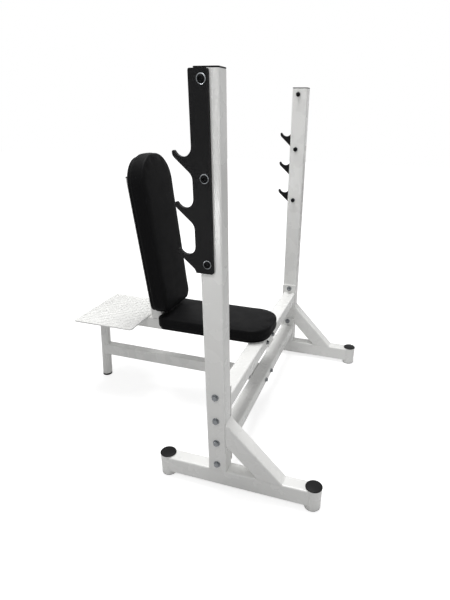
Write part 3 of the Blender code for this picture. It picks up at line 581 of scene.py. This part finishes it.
def button_bolt(name, shank_end):
    """A button-head bolt with a hex socket, on its washer."""
    metal = bpy.context.scene.bench_fasteners
    thick = metal.washer_thickness
    top = thick + metal.button_height
    head = round_rim(rod(name + "_head", metal.button_radius, thick, top, 48), top, 5.4 * MM, 8)
    key, reach = 4.6 * MM, 4.0 * MM
    combine(head, rod(name + "_key", key, top - reach, top + reach, 6), "DIFFERENCE")
    ring = washer(name + "_washer", metal.washer_radius, metal.bolt_radius + WASHER_PLAY, 0.0, thick)
    parts = [wear(head, "black_oxide_steel"), wear(ring, "zinc_plated_steel")]
    if shank_end:
        shank = round_rim(rod(name + "_shank", metal.bolt_radius, shank_end, thick), shank_end, 0.8 * MM, 1)
        parts.append(wear(shank, "black_oxide_steel"))
    return smooth(merge(name, parts))


def polyline(name, points, closed):
    """A path of straight runs."""
    curve = bpy.data.curves.new(name, "CURVE")
    curve.dimensions = "3D"
    line = curve.splines.new("POLY")
    line.points.add(len(points) - 1)
    for dot, point in zip(line.points, points):
        dot.co = (*point, 1.0)
    line.use_cyclic_u = closed
    path = bpy.data.objects.new(name, curve)
    bpy.context.collection.objects.link(path)
    return path


def strung(piece, pitch, points, closed=False):
    """Repeat a small piece along a path, a pitch apart."""
    path = polyline(piece.name + "_path", points, closed)
    row = repeat(piece, (pitch, 0.0, 0.0))
    row.fit_type = "FIT_CURVE"
    row.curve = path
    run = piece.modifiers.new("Run", "CURVE")
    run.object = path
    apply_all(piece)
    drop(path)
    return piece


def bead(name, points, closed=False):
    """One weld bead: overlapping ripples along a path."""
    looks = bpy.context.scene.bench_frame
    ripple = primitive(name, bpy.ops.mesh.primitive_uv_sphere_add, segments=8, ring_count=5,
                       radius=looks.weld_radius, location=(looks.weld_pitch / 2, 0.0, 0.0),
                       scale=(0.85, 1.0, 1.0))
    return strung(ripple, looks.weld_pitch, points, closed)


def ring_points(centre, radius, start, end, steps):
    """Points on a level arc."""
    turns = [start + (end - start) * i / steps for i in range(steps + 1)]
    return [(centre[0] + radius * math.cos(t), centre[1] + radius * math.sin(t), centre[2]) for t in turns]


def box_of(node):
    """Lowest and highest corner of a CAD node, as vectors."""
    return tuple(Vector(corner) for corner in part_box(node))


def vertices_at(node, axis, value, near=0.4 * MM):
    """Places of a CAD node's vertices that lie at a coordinate."""
    return [v.co.copy() for v in NODES[node].data.vertices if abs(v.co[axis] - value) < near]


def slot_of(node):
    """The record's material slot of a CAD node."""
    return next(part["material_slot"] for part in frame["record"]["subparts"] if part["node"] == node)


def brace_ends(label):
    """Heights of a brace's end on its upright, and depths of its end on the foot rail."""
    low, high = box_of(label + "_brace")
    heights = [p.z for p in vertices_at(label + "_brace", 1, high.y)]
    depths = [p.y for p in vertices_at(label + "_brace", 2, low.z)]
    return (min(heights), max(heights)), (min(depths), max(depths))


def foot_welds(label):
    """Where the upright, the brace and the posts are welded to their foot rail."""
    upright_low, upright_high = box_of(label + "_upright")
    rail_low, rail_high = box_of(label + "_foot_rail")
    inset = 8.0 * MM
    across = (upright_low.x + inset, upright_high.x - inset)
    top = rail_high.z
    runs = [[(x, y, top) for x in across] for y in (upright_low.y, upright_high.y)]
    heights, depths = brace_ends(label)
    runs += [[(x, upright_low.y, z) for x in across] for z in heights]
    runs += [[(x, y, top) for x in across] for y in depths]
    for end, sign in (("front", 1), ("rear", -1)):
        post_low, post_high = box_of(label + "_" + end + "_post")
        middle = (post_low + post_high) / 2
        radius = (post_high.x - post_low.x) / 2
        for x in (rail_low.x, rail_high.x):
            y = middle.y + sign * math.sqrt(radius ** 2 - (x - middle.x) ** 2)
            runs.append([(x, y, rail_low.z + 2 * MM), (x, y, post_high.z - 2 * MM)])
    return runs


def beam_welds(node):
    """The four edges where a cross beam meets each of its end plates."""
    low, high = box_of(node)
    tube = [v.co for v in NODES[node].data.vertices if abs(v.co.x) < 0.2]
    y0, y1 = min(p.y for p in tube), max(p.y for p in tube)
    z0, z1 = min(p.z for p in tube), max(p.z for p in tube)
    plate = 8.0 * MM
    runs = []
    for x in (low.x + plate, high.x - plate):
        runs += [[(x, y0 + 4 * MM, z), (x, y1 - 4 * MM, z)] for z in (z0, z1)]
        runs += [[(x, y, z0 + 5 * MM), (x, y, z1 - 5 * MM)] for y in (y0, y1)]
    return runs


def lean_place():
    """The frame in which the leaning backrest lies flat: X across, Y up along it, Z to the user."""
    mesh = NODES["back_bracket"].data
    face = max(mesh.polygons, key=lambda f: f.area if f.normal.y < -0.5 else 0.0)
    lean = math.atan2(face.normal.z, -face.normal.y)
    return Matrix.Rotation(-lean, 4, "X") @ Matrix.Rotation(math.pi / 2, 4, "X")


def flat_box(node, place):
    """Lowest and highest corner of a CAD node in another frame."""
    back = place.inverted()
    points = [back @ v.co for v in NODES[node].data.vertices]
    low = Vector([min(p[i] for p in points) for i in range(3)])
    high = Vector([max(p[i] for p in points) for i in range(3)])
    return low, high


def padded_block(name, low, high, low_corner, high_corner):
    """A foam block: rounded corners in plan, a soft top edge and a smaller back edge."""
    pads = bpy.context.scene.bench_cushions
    foam = block(name, low, high)
    middle, half = (low + high) / 2, (high - low) / 2
    edit(foam, "VERT")
    pick(foam, "VERT", lambda v: v.co.z > middle.z)
    bpy.ops.transform.resize(value=(1 + pads.flare / half.x, 1 + pads.flare / half.y, 1.0),
                             center_override=(middle.x, middle.y, high.z))
    leave(foam)
    for y, radius in ((low.y, low_corner), (high.y, high_corner)):
        bevel(foam, lambda e: at(e, 1, y, 2 * pads.flare + 1e-5) and upright(e), radius, 12)
    round_rim(foam, high.z, pads.edge, 6)
    return round_rim(foam, low.z, pads.back_edge, 4)


def inflate(cushion, floor_z):
    """Let the cover swell as cloth over its foam, held flat where it lies on the board."""
    pads = bpy.context.scene.bench_cushions
    remesh = cushion.modifiers.new("Cells", "REMESH")
    remesh.mode = "VOXEL"
    remesh.voxel_size = pads.voxel
    apply_all(cushion)
    start = [v.co.copy() for v in cushion.data.vertices]
    held = cushion.vertex_groups.new(name="board")
    flat = [v.index for v in cushion.data.vertices if v.co.z < floor_z + pads.back_edge * 0.5]
    held.add(flat, 1.0, "REPLACE")
    cloth = cushion.modifiers.new("Cover", "CLOTH")
    cloth.settings.quality = 5
    cloth.settings.mass = 0.3
    cloth.settings.use_pressure = True
    cloth.settings.uniform_pressure_force = 4.0
    cloth.settings.vertex_group_mass = "board"
    cloth.settings.effector_weights.gravity = 0.0
    cloth.point_cache.frame_start = 1
    cloth.point_cache.frame_end = CLOTH_FRAMES
    for number in range(1, CLOTH_FRAMES + 1):
        bpy.context.scene.frame_set(number)
    apply_all(cushion)
    bpy.context.scene.frame_set(1)
    cushion.vertex_groups.clear()
    for vertex, rest in zip(cushion.data.vertices, start):
        move = vertex.co - rest
        if move.length > pads.swell:
            vertex.co = rest + move * (pads.swell / move.length)
    return cushion


def crown(cushion, low, high, rise):
    """Raise the middle of a cushion's top over its rim."""
    middle, half = (low + high) / 2, (high - low) / 2
    for vertex in cushion.data.vertices:
        if vertex.co.z > low.z + half.z:
            u = min(1.0, abs(vertex.co.x - middle.x) / half.x)
            v = min(1.0, abs(vertex.co.y - middle.y) / half.y)
            share = (vertex.co.z - low.z - half.z) / half.z
            vertex.co.z += rise * share * (1.0 - u ** 2.2) * (1.0 - v ** 4)
    return cushion


def relax(cushion, rounds):
    """Smooth a cushion's cover and give it one subdivision."""
    step = cushion.modifiers.new("Relax", "SMOOTH")
    step.factor = 0.5
    step.iterations = rounds
    finer = cushion.modifiers.new("Finer", "SUBSURF")
    finer.levels = 1
    finer.render_levels = 1
    return apply_all(cushion)


def fill(cushion, low, high):
    """Stretch a cushion a little so that it fills its CAD solid's box and stays inside it."""
    points = [vertex.co for vertex in cushion.data.vertices]
    margin = Vector((0.1 * MM, 0.1 * MM, 0.1 * MM))
    least = Vector([min(p[i] for p in points) for i in range(3)])
    most = Vector([max(p[i] for p in points) for i in range(3)])
    wanted = high - low - 2 * margin
    scale = Matrix.Diagonal((*(wanted[i] / (most[i] - least[i]) for i in range(3)), 1.0))
    return settle(cushion, Matrix.Translation(low + margin) @ scale @ Matrix.Translation(-least))


def upholster(node, name, place, low_corner, high_corner, rise):
    """Build one cushion in the space of its CAD solid."""
    pads = bpy.context.scene.bench_cushions
    low, high = flat_box(node, place)
    grow = Vector((pads.swell * 0.75, pads.swell * 0.75, 0.0))
    inner_low = low + grow
    inner_high = high - grow - Vector((0.0, 0.0, rise + pads.swell * 0.6))
    cushion = padded_block(name, inner_low, inner_high, low_corner, high_corner)
    inflate(cushion, inner_low.z)
    crown(cushion, inner_low, inner_high, rise)
    relax(cushion, 4)
    fill(cushion, low, high)
    settle(cushion, place)
    select_only(cushion)
    bpy.ops.object.shade_smooth()
    wear(cushion, "pvc_leatherette")
    return carry(cushion, "black_vinyl", node)


class BENCH_OT_steel_frame(bpy.types.Operator):
    """Round the edges of the frame's steel and give it its powder coat"""
    bl_idname = "bench.steel_frame"
    bl_label = "Steel frame"

    def execute(self, context):
        looks = context.scene.bench_frame
        for name in NODES:
            if slot_of(name) == "white_steel":
                wear(soften(name, looks.edge_round), "white_powder_coated_steel")
            if name.endswith("_hook_plate"):
                wear(soften(name, looks.edge_round), "black_textured_powder_coat")
        return {"FINISHED"}


class BENCH_OT_caps_and_glides(bpy.types.Operator):
    """Finish the plastic end caps and the rubber glides"""
    bl_idname = "bench.caps_and_glides"
    bl_label = "Caps and glides"

    def execute(self, context):
        for name in NODES:
            if slot_of(name) in SLOT_FINISHES:
                look, width = SLOT_FINISHES[slot_of(name)]
                wear(soften(name, width), look)
            if name.count("hook_nut"):
                wear(soften(name, 0.3 * MM), "black_oxide_steel")
        return {"FINISHED"}


class BENCH_OT_seat_cushion(bpy.types.Operator):
    """Upholster the seat"""
    bl_idname = "bench.seat_cushion"
    bl_label = "Seat cushion"

    def execute(self, context):
        upholster("seat_pad", "seat_cushion", Matrix.Identity(4), 0.104, 0.031, 2.0 * MM)
        return {"FINISHED"}


class BENCH_OT_back_cushion(bpy.types.Operator):
    """Upholster the backrest"""
    bl_idname = "bench.back_cushion"
    bl_label = "Back cushion"

    def execute(self, context):
        upholster("back_pad", "back_cushion", lean_place(), 0.048, 0.127, 2.5 * MM)
        return {"FINISHED"}


def seam(name, low, high, face_axis, place):
    """A weld ground flush: a thin raised strip over a joint, on a face that looks along an axis."""
    thin, wide = 0.4 * MM, 3.6 * MM
    size = high - low
    along = max(range(3), key=lambda i: abs(size[i]))
    scale = Vector((wide, wide, wide))
    scale[along] = abs(size[along])
    scale[face_axis] = thin
    middle = (low + high) / 2
    middle[face_axis] = place
    strip = primitive(name, bpy.ops.mesh.primitive_cube_add, size=1.0, location=middle, scale=scale)
    return bevel(strip, lambda e: True, 0.15 * MM, 2)


def foot_seams(label):
    """Strips over the joints that lie flush in both sides of a foot."""
    upright_low, upright_high = box_of(label + "_upright")
    rail_low, rail_high = box_of(label + "_foot_rail")
    heights, depths = brace_ends(label)
    gap = (upright_low.z - rail_high.z) / 2
    edge = 5.0 * MM
    joint, back = rail_high.z + gap, box_of(label + "_brace")[1].y + gap
    lines = [((upright_low.y + edge, joint), (upright_high.y - edge, joint)),
             ((back, heights[0] + edge), (back, heights[1] - edge)),
             ((depths[0] + edge, joint), (depths[1] - edge, joint))]
    strips = []
    for x in (upright_low.x, upright_high.x):
        strips += [seam(label + "_seam", Vector((0.0, *low)), Vector((0.0, *high)), 0, x)
                   for low, high in lines]
    return strips


def covered_board(node, name, place, low_corner, high_corner):
    """A cushion board: its cover folded over the rim to the back, stapled, with backing cloth inside."""
    low, high = flat_box(node, place)
    board = block(name, low, high)
    for y, radius in ((low.y, low_corner), (high.y, high_corner)):
        bevel(board, lambda e: at(e, 1, y) and upright(e), radius, 10)
    round_rim(board, low.z, 2.0 * MM, 3)
    wear(board, "pvc_leatherette", "backing_cloth")
    hem = 24.0 * MM
    edit(board, "FACE")
    pick(board, "FACE", lambda f: f.normal.z < -0.9 and abs(f.calc_center_median().z - low.z) < 1e-5)
    bpy.ops.mesh.inset(thickness=hem, depth=0.0)
    bpy.ops.transform.translate(value=(0.0, 0.0, 0.9 * MM))
    board.active_material_index = 1
    bpy.ops.object.material_slot_assign()
    leave(board)
    inset = 13.0 * MM
    path = []
    for x, y, radius, turn in ((low.x, low.y, low_corner, 180), (high.x, low.y, low_corner, 270),
                               (high.x, high.y, high_corner, 0), (low.x, high.y, high_corner, 90)):
        centre = (x + math.copysign(radius, -x), y + (radius if y == low.y else -radius), low.z)
        path += ring_points(centre, max(2.0 * MM, radius - inset), math.radians(turn),
                            math.radians(turn + 90), 4)
    staple = primitive(name + "_staples", bpy.ops.mesh.primitive_cube_add, size=1.0,
                       location=(6.0 * MM, 0.0, 0.0), scale=(10.0 * MM, 1.1 * MM, 0.5 * MM))
    bevel(staple, lambda e: True, 0.2 * MM, 1)
    wear(strung(staple, 28.0 * MM, path, True), "zinc_plated_steel")
    smooth(settle(board, place))
    smooth(settle(staple, place))
    carry(staple, "zinc_steel")
    return carry(board, "dark_board", node)


class BENCH_OT_welds(bpy.types.Operator):
    """Lay the weld beads that join the tubes, and grind the side joints of the feet flush"""
    bl_idname = "bench.welds"
    bl_label = "Welds"

    def execute(self, context):
        for _, label in SIDES:
            beads = [bead(label + "_foot_bead", run) for run in foot_welds(label)]
            self.close(label + "_foot_welds", beads + foot_seams(label))
        for node in ("upper_cross_beam", "lower_cross_beam"):
            self.close(node + "_welds", [bead(node + "_bead", run) for run in beam_welds(node)])
        self.close("centre_frame_welds", [bead("centre_bead", run, closed)
                                          for run, closed in self.centre_runs()])
        return {"FINISHED"}

    def close(self, name, beads):
        """Join the beads of one assembly and give them its paint."""
        welds = smooth(merge(name, beads), 50.0)
        carry(wear(welds, "white_powder_coated_steel"), "white_steel")

    def centre_runs(self):
        """Paths of the beads on the seat beam, stretcher, leg, back support, bracket and platform."""
        runs = []
        for node in ("seat_beam", "lower_stretcher"):
            low, high = box_of(node)
            flange = [v.co for v in NODES[node].data.vertices if abs(v.co.x - low.x) < 1e-4]
            z0, z1 = min(p.z for p in flange), max(p.z for p in flange)
            y = max(p.y for p in flange)
            half = box_of("back_support")[1].x
            runs += [([(x, y, max(z0, low.z) + 3 * MM), (x, y, min(z1, high.z) - 3 * MM)], False)
                     for x in (-half, half)]
        leg_low, leg_high = box_of("rear_leg")
        top = vertices_at("rear_leg", 2, leg_high.z)
        centre = sum(top, Vector()) / len(top)
        radius = leg_high.x
        runs.append((ring_points((0.0, centre.y, leg_high.z), radius, 0.0, 2 * math.pi, 32)[:-1], True))
        stretcher_low, stretcher_high = box_of("lower_stretcher")
        for z in (stretcher_low.z, stretcher_high.z):
            share = (z - leg_low.z) / (leg_high.z - leg_low.z)
            y = (leg_high.y - radius) * (1 - share) + centre.y * share
            runs.append((ring_points((0.0, y, z), radius, math.radians(190), math.radians(350), 16), False))
        support = vertices_at("back_support", 2, box_of("back_support")[0].z)
        inset = 7.0 * MM
        z = box_of("seat_beam")[1].z
        runs += [([(inset - radius, y, z), (radius - inset, y, z)], False)
                 for y in (min(p.y for p in support), max(p.y for p in support))]
        place = lean_place()
        low, high = flat_box("back_bracket", place)
        for x in (-radius, radius):
            for y in (low.y + 0.03, (low.y + high.y) / 2 - 0.03, high.y - 0.09):
                runs.append(([place @ Vector((x, y, low.z)), place @ Vector((x, y + 0.06, low.z))], False))
        low, high = box_of("spotter_platform")
        for x in (-radius, radius):
            for y in (low.y + 0.02, high.y - 0.08):
                runs.append(([(x, y, low.z), (x, y + 0.05, low.z)], False))
        return runs


class BENCH_OT_hook_bolts(bpy.types.Operator):
    """Make the button-head bolts of the hook plates and their cap nuts"""
    bl_idname = "bench.hook_bolts"
    bl_label = "Hook bolts"

    def execute(self, context):
        metal = context.scene.bench_fasteners
        plate, tube = box_of("left_hook_plate")[1].x, box_of("left_upright")[0].x
        shank_end = box_of("left_hook_bolt_1")[0].x - plate - GAP
        bolts, nuts = {}, {}
        for side, label in SIDES:
            for number in (1, 2, 3):
                bolt, nut = "%s_hook_bolt_%d" % (label, number), "%s_hook_nut_%d" % (label, number)
                bolts[bolt] = bolt_place(bolt, (side, 0, 0), side * (plate + GAP))
                nuts[nut] = bolt_place(nut, (-side, 0, 0), side * (tube - GAP))
        copies(button_bolt("hook_bolt", shank_end), bolts, "zinc_steel")
        bore = metal.bolt_radius + 0.3 * MM
        hexa = bored(hexagon("cap_nut", metal.hex_radius, 0.0, metal.nut_height, 2), bore, -1 * MM,
                     metal.nut_height - 0.8 * MM)
        top = metal.nut_height + metal.dome_height
        dome = rod("cap_nut_dome", metal.hex_radius * 0.82, metal.nut_height - 0.5 * MM, top)
        round_rim(dome, top, metal.dome_height * 0.86, 8)
        nut = smooth(merge("cap_nut", [hexa, dome]))
        copies(wear(nut, "black_oxide_steel"), nuts, "black_steel")
        return {"FINISHED"}


class BENCH_OT_frame_bolts(bpy.types.Operator):
    """Make the hex bolts that hold the cross beams between the uprights"""
    bl_idname = "bench.frame_bolts"
    bl_label = "Frame bolts"

    def execute(self, context):
        metal = context.scene.bench_fasteners
        places = {}
        for side, label in SIDES:
            for number in (1, 2, 3, 4):
                node = "%s_frame_bolt_%d" % (label, number)
                face = box_of(label + "_upright")[1 if side > 0 else 0].x
                places[node] = bolt_place(node, (side, 0, 0), face + side * GAP)
        low, high = box_of("left_frame_bolt_1")
        bolt = hex_bolt("frame_bolt", metal.bolt_radius, metal.washer_radius, metal.hex_radius,
                        high.x - low.x)
        copies(bolt, places, "zinc_steel")
        return {"FINISHED"}


class BENCH_OT_beam_bolts(bpy.types.Operator):
    """Make the bolts that hold the centre frame to the cross beams"""
    bl_idname = "bench.beam_bolts"
    bl_label = "Beam bolts"

    def execute(self, context):
        metal = context.scene.bench_fasteners
        face = min(v.co.y for v in NODES["upper_cross_beam"].data.vertices if abs(v.co.x) < 0.2)
        nodes = [beam + "_bolt_" + hand for beam in ("seat_beam", "stretcher") for hand in ("left", "right")]
        places = {node: bolt_place(node, (0, -1, 0), face - GAP) for node in nodes}
        low, high = box_of("seat_beam_bolt_left")
        bolt = hex_bolt("beam_bolt", metal.beam_bolt_radius, metal.beam_washer_radius,
                        metal.beam_hex_radius, high.y - low.y)
        copies(bolt, places, "dark_steel")
        return {"FINISHED"}


class BENCH_OT_bracket_screws(bpy.types.Operator):
    """Screw the backrest's board to its bracket from behind"""
    bl_idname = "bench.bracket_screws"
    bl_label = "Bracket screws"

    def execute(self, context):
        place = lean_place()
        low, high = flat_box("back_bracket", place)
        screw = button_bolt("bracket_screw", 0.0)
        number = 0
        for x in (low.x + 0.020, high.x - 0.020):
            for y in (low.y + 0.030, high.y - 0.030):
                number += 1
                spot = place @ Matrix.Translation((x, y, low.z)) @ Matrix.Rotation(math.pi, 4, "X")
                carry(duplicate(screw, "bracket_screw_%d" % number, spot), "dark_steel")
        drop(screw)
        return {"FINISHED"}


class BENCH_OT_cushion_boards(bpy.types.Operator):
    """Cover the boards of the seat and of the backrest"""
    bl_idname = "bench.cushion_boards"
    bl_label = "Cushion boards"

    def execute(self, context):
        covered_board("seat_board", "seat_board_covered", Matrix.Identity(4), 0.096, 0.023)
        covered_board("back_board", "back_board_covered", lean_place(), 0.036, 0.114)
        return {"FINISHED"}


class BENCH_OT_tread_plate(bpy.types.Operator):
    """Make the spotter platform of tread plate"""
    bl_idname = "bench.tread_plate"
    bl_label = "Tread plate"

    def execute(self, context):
        tread = context.scene.bench_tread
        low, high = box_of("spotter_platform")
        plate = self.outline("tread_plate", low, high, 0.0)
        for z in (low.z, high.z):
            round_rim(plate, z, 0.6 * MM)
        bars = self.bars(tread, low, high)
        keep = self.outline("tread_edge", Vector((low.x, low.y, low.z)),
                            Vector((high.x, high.y, high.z + 0.01)), 0.8 * MM)
        combine(bars, keep, "INTERSECT")
        for piece in (plate, bars):
            wear(piece, "white_powder_coated_steel")
        deck = smooth(merge("spotter_tread_plate", [plate, bars]), 40.0)
        carry(deck, "tread_plate", "spotter_platform")
        return {"FINISHED"}

    def outline(self, name, low, high, inset):
        """A plate with rounded corners."""
        edge = Vector((inset, inset, 0.0))
        return bevel(block(name, low + edge, high - edge), upright, 12.0 * MM - inset, 6)

    def bars(self, tread, low, high):
        """The raised bars, turned one way and the other by turns, over the whole plate."""
        sunk = 0.6 * MM
        parts = []
        for column in (0, 1):
            for row in (0, 1):
                bar = primitive(
                    "tread_bar", bpy.ops.mesh.primitive_cylinder_add, vertices=14, radius=0.5, depth=1.0,
                    location=((column + 0.25) * tread.pitch, (row + 0.25) * tread.pitch,
                              (tread.height - sunk) / 2),
                    scale=(tread.length, tread.width, tread.height + sunk),
                    rotation=(0.0, 0.0, math.radians(45 if (column + row) % 2 else -45)))
                edit(bar, "FACE")
                pick(bar, "FACE", lambda f: f.normal.z > 0.9)
                bpy.ops.mesh.inset(thickness=1.1 * MM, depth=0.0)
                leave(bar)
                parts.append(bar)
        cell = merge("tread_bars", parts)
        for axis, extent in ((0, high.x - low.x), (1, high.y - low.y)):
            step = [0.0, 0.0, 0.0]
            step[axis] = 2 * tread.pitch
            repeat(cell, step).count = math.ceil(extent / (2 * tread.pitch))
        apply_all(cell)
        return settle(cell, Matrix.Translation((low.x, low.y, high.z)))


class BENCH_OT_stage(bpy.types.Operator):
    """Set the studio floor, the lamps, the even light and the camera"""
    bl_idname = "bench.stage"
    bl_label = "Stage"

    def execute(self, context):
        stage = context.scene.bench_stage
        context.scene.view_settings.view_transform = "Standard"
        self.floor(stage)
        self.sky(context.scene, stage)
        self.lamp("key_lamp", (0.35, 0.2, 3.5), (0.0, 0.0, 0.0), 1.6, stage.key_power)
        self.lamp("upper_side_lamp", (-1.9, -0.2, 2.3), (-0.61, -0.3, 1.2), 0.6, stage.upper_power)
        self.lamp("shine_lamp", (-3.05, 0.765, 0.45), (-0.61, -0.265, 1.07), 0.18, stage.shine_power, 45.0)
        self.lamp("front_lamp", (-0.6, -3.2, 1.3), (-0.2, 0.0, 0.7), 2.0, stage.front_power)
        self.camera(context.scene, stage)
        return {"FINISHED"}

    def floor(self, stage):
        """A pale floor that keeps the bench's shadow and is white to the camera."""
        bpy.ops.object.select_all(action="DESELECT")
        bpy.ops.mesh.primitive_plane_add(size=24.0, location=(0.0, 0.0, -0.0005))
        floor = fresh("studio_floor")
        made = bpy.data.materials.new("studio_floor_paper")
        made.use_nodes = True
        tree = made.node_tree
        tree.nodes.remove(tree.nodes["Principled BSDF"])
        rays = add_node(tree, "ShaderNodeLightPath")
        paper = add_node(tree, "ShaderNodeBsdfDiffuse", {"Color": (*tuple(stage.backdrop), 1.0)})
        place = add_node(tree, "ShaderNodeTexCoord").outputs["Object"]
        away = add_node(tree, "ShaderNodeVectorMath", {0: place}, operation="LENGTH").outputs["Value"]
        # The key lamp's light falls off from 1 m, so the lift grows to full white at 3 m
        lift = add_node(tree, "ShaderNodeMapRange", {"Value": away, "From Min": 1.0, "From Max": 3.0,
                                                     "To Min": stage.glow, "To Max": 1.0}).outputs["Result"]
        level = add_node(tree, "ShaderNodeMath", {0: rays.outputs["Is Camera Ray"], 1: lift},
                         operation="MULTIPLY")
        mirror = add_node(tree, "ShaderNodeMath",
                          {0: rays.outputs["Is Glossy Ray"], 1: rays.outputs["Is Transmission Ray"]},
                          operation="MAXIMUM")
        total = add_node(tree, "ShaderNodeMath", {0: mirror.outputs["Value"], 1: stage.mirrored,
                                                  2: level.outputs["Value"]}, operation="MULTIPLY_ADD")
        glow = add_node(tree, "ShaderNodeEmission", {"Strength": total.outputs["Value"]})
        both = add_node(tree, "ShaderNodeAddShader", {0: paper.outputs["BSDF"], 1: glow.outputs["Emission"]})
        tree.links.new(both.outputs["Shader"], tree.nodes["Material Output"].inputs["Surface"])
        floor.data.materials.append(made)

    def sky(self, scene, stage):
        """Even studio light, with pure white behind the bench."""
        scene.world = scene.world or bpy.data.worlds.new("studio")
        scene.world.use_nodes = True
        tree = scene.world.node_tree
        ground = tree.nodes["Background"]
        ground.inputs["Color"].default_value = (1.0, 1.0, 1.0, 1.0)
        level = add_node(tree, "ShaderNodeMapRange", {"Value": seen_rays(tree), "To Min": stage.sky,
                                                      "To Max": 1.0})
        tree.links.new(level.outputs["Result"], ground.inputs["Strength"])

    def lamp(self, name, place, aim, size, power, spread_angle=180.0):
        """A square soft box that looks at a point, with a grid before it where its beam is narrow."""
        bpy.ops.object.light_add(type="AREA", location=place)
        lamp = fresh(name)
        lamp.data.shape = "SQUARE"
        lamp.data.size = size
        lamp.data.energy = power
        lamp.data.spread = math.radians(spread_angle)
        lamp.rotation_euler = (Vector(aim) - Vector(place)).to_track_quat("-Z", "Y").to_euler()

    def camera(self, scene, stage):
        """The photograph's camera."""
        heading, pitch, roll = stage.heading, stage.pitch, stage.roll
        ahead = Vector((math.cos(heading) * math.cos(pitch), math.sin(heading) * math.cos(pitch),
                        math.sin(pitch)))
        right = Vector((math.sin(heading), -math.cos(heading), 0.0))
        over = right.cross(ahead)
        side = right * math.cos(roll) + over * math.sin(roll)
        top = over * math.cos(roll) - right * math.sin(roll)
        turn = Matrix((side, top, -ahead)).transposed()
        bpy.ops.object.camera_add(location=tuple(stage.camera_place))
        camera = fresh("photo_camera")
        camera.rotation_euler = turn.to_euler()
        camera.data.sensor_width = 36.0
        camera.data.lens = stage.lens
        camera.data.shift_x = stage.shift[0]
        camera.data.shift_y = stage.shift[1]
        camera.data.clip_start = 0.01
        scene.camera = camera


def seen_rays(tree):
    """One for rays of the camera, of reflections and of transmission, and none for the rest."""
    rays = add_node(tree, "ShaderNodeLightPath")
    seen = rays.outputs["Is Camera Ray"]
    for kind in ("Is Glossy Ray", "Is Transmission Ray"):
        seen = add_node(tree, "ShaderNodeMath", {0: seen, 1: rays.outputs[kind]},
                        operation="MAXIMUM").outputs["Value"]
    return seen


class BENCH_PT_looks(bpy.types.Panel):
    """Lists what dresses the bench"""
    bl_idname = "BENCH_PT_looks"
    bl_label = "Press bench"
    bl_space_type = "VIEW_3D"
    bl_region_type = "UI"
    bl_category = "Bench"

    def draw(self, context):
        for operator in OPERATORS:
            self.layout.operator(operator.bl_idname)
        for group in GROUPS:
            settings = getattr(context.scene, group)
            box = self.layout.box()
            box.label(text=group.replace("_", " "))
            for name in settings.bl_rna.properties.keys():
                if name not in ("rna_type", "name"):
                    box.prop(settings, name)


GROUPS = {"bench_frame": BenchFrameLooks, "bench_cushions": BenchCushionLooks, "bench_tread": BenchTreadLooks,
          "bench_fasteners": BenchFastenerLooks, "bench_stage": BenchStageLooks}
OPERATORS = (BENCH_OT_stage, BENCH_OT_steel_frame, BENCH_OT_caps_and_glides, BENCH_OT_welds,
             BENCH_OT_hook_bolts, BENCH_OT_frame_bolts, BENCH_OT_beam_bolts, BENCH_OT_bracket_screws,
             BENCH_OT_tread_plate, BENCH_OT_cushion_boards, BENCH_OT_seat_cushion, BENCH_OT_back_cushion)


def register():
    """Register the settings, the operators and the panel."""
    for name, group in GROUPS.items():
        bpy.utils.register_class(group)
        setattr(bpy.types.Scene, name, bpy.props.PointerProperty(type=group))
    for operator in OPERATORS:
        bpy.utils.register_class(operator)
    bpy.utils.register_class(BENCH_PT_looks)


def unregister():
    """Take the panel, the operators and the settings away again."""
    bpy.utils.unregister_class(BENCH_PT_looks)
    for operator in reversed(OPERATORS):
        bpy.utils.unregister_class(operator)
    for name, group in GROUPS.items():
        delattr(bpy.types.Scene, name)
        bpy.utils.unregister_class(group)


def main():
    """Dress the bench piece by piece."""
    register()
    bpy.ops.bench.stage()
    bpy.ops.bench.steel_frame()
    bpy.ops.bench.caps_and_glides()
    bpy.ops.bench.welds()
    bpy.ops.bench.hook_bolts()
    bpy.ops.bench.frame_bolts()
    bpy.ops.bench.beam_bolts()
    bpy.ops.bench.bracket_screws()
    bpy.ops.bench.tread_plate()
    bpy.ops.bench.cushion_boards()
    bpy.ops.bench.seat_cushion()
    bpy.ops.bench.back_cushion()


if __name__ == "__main__":
    main()
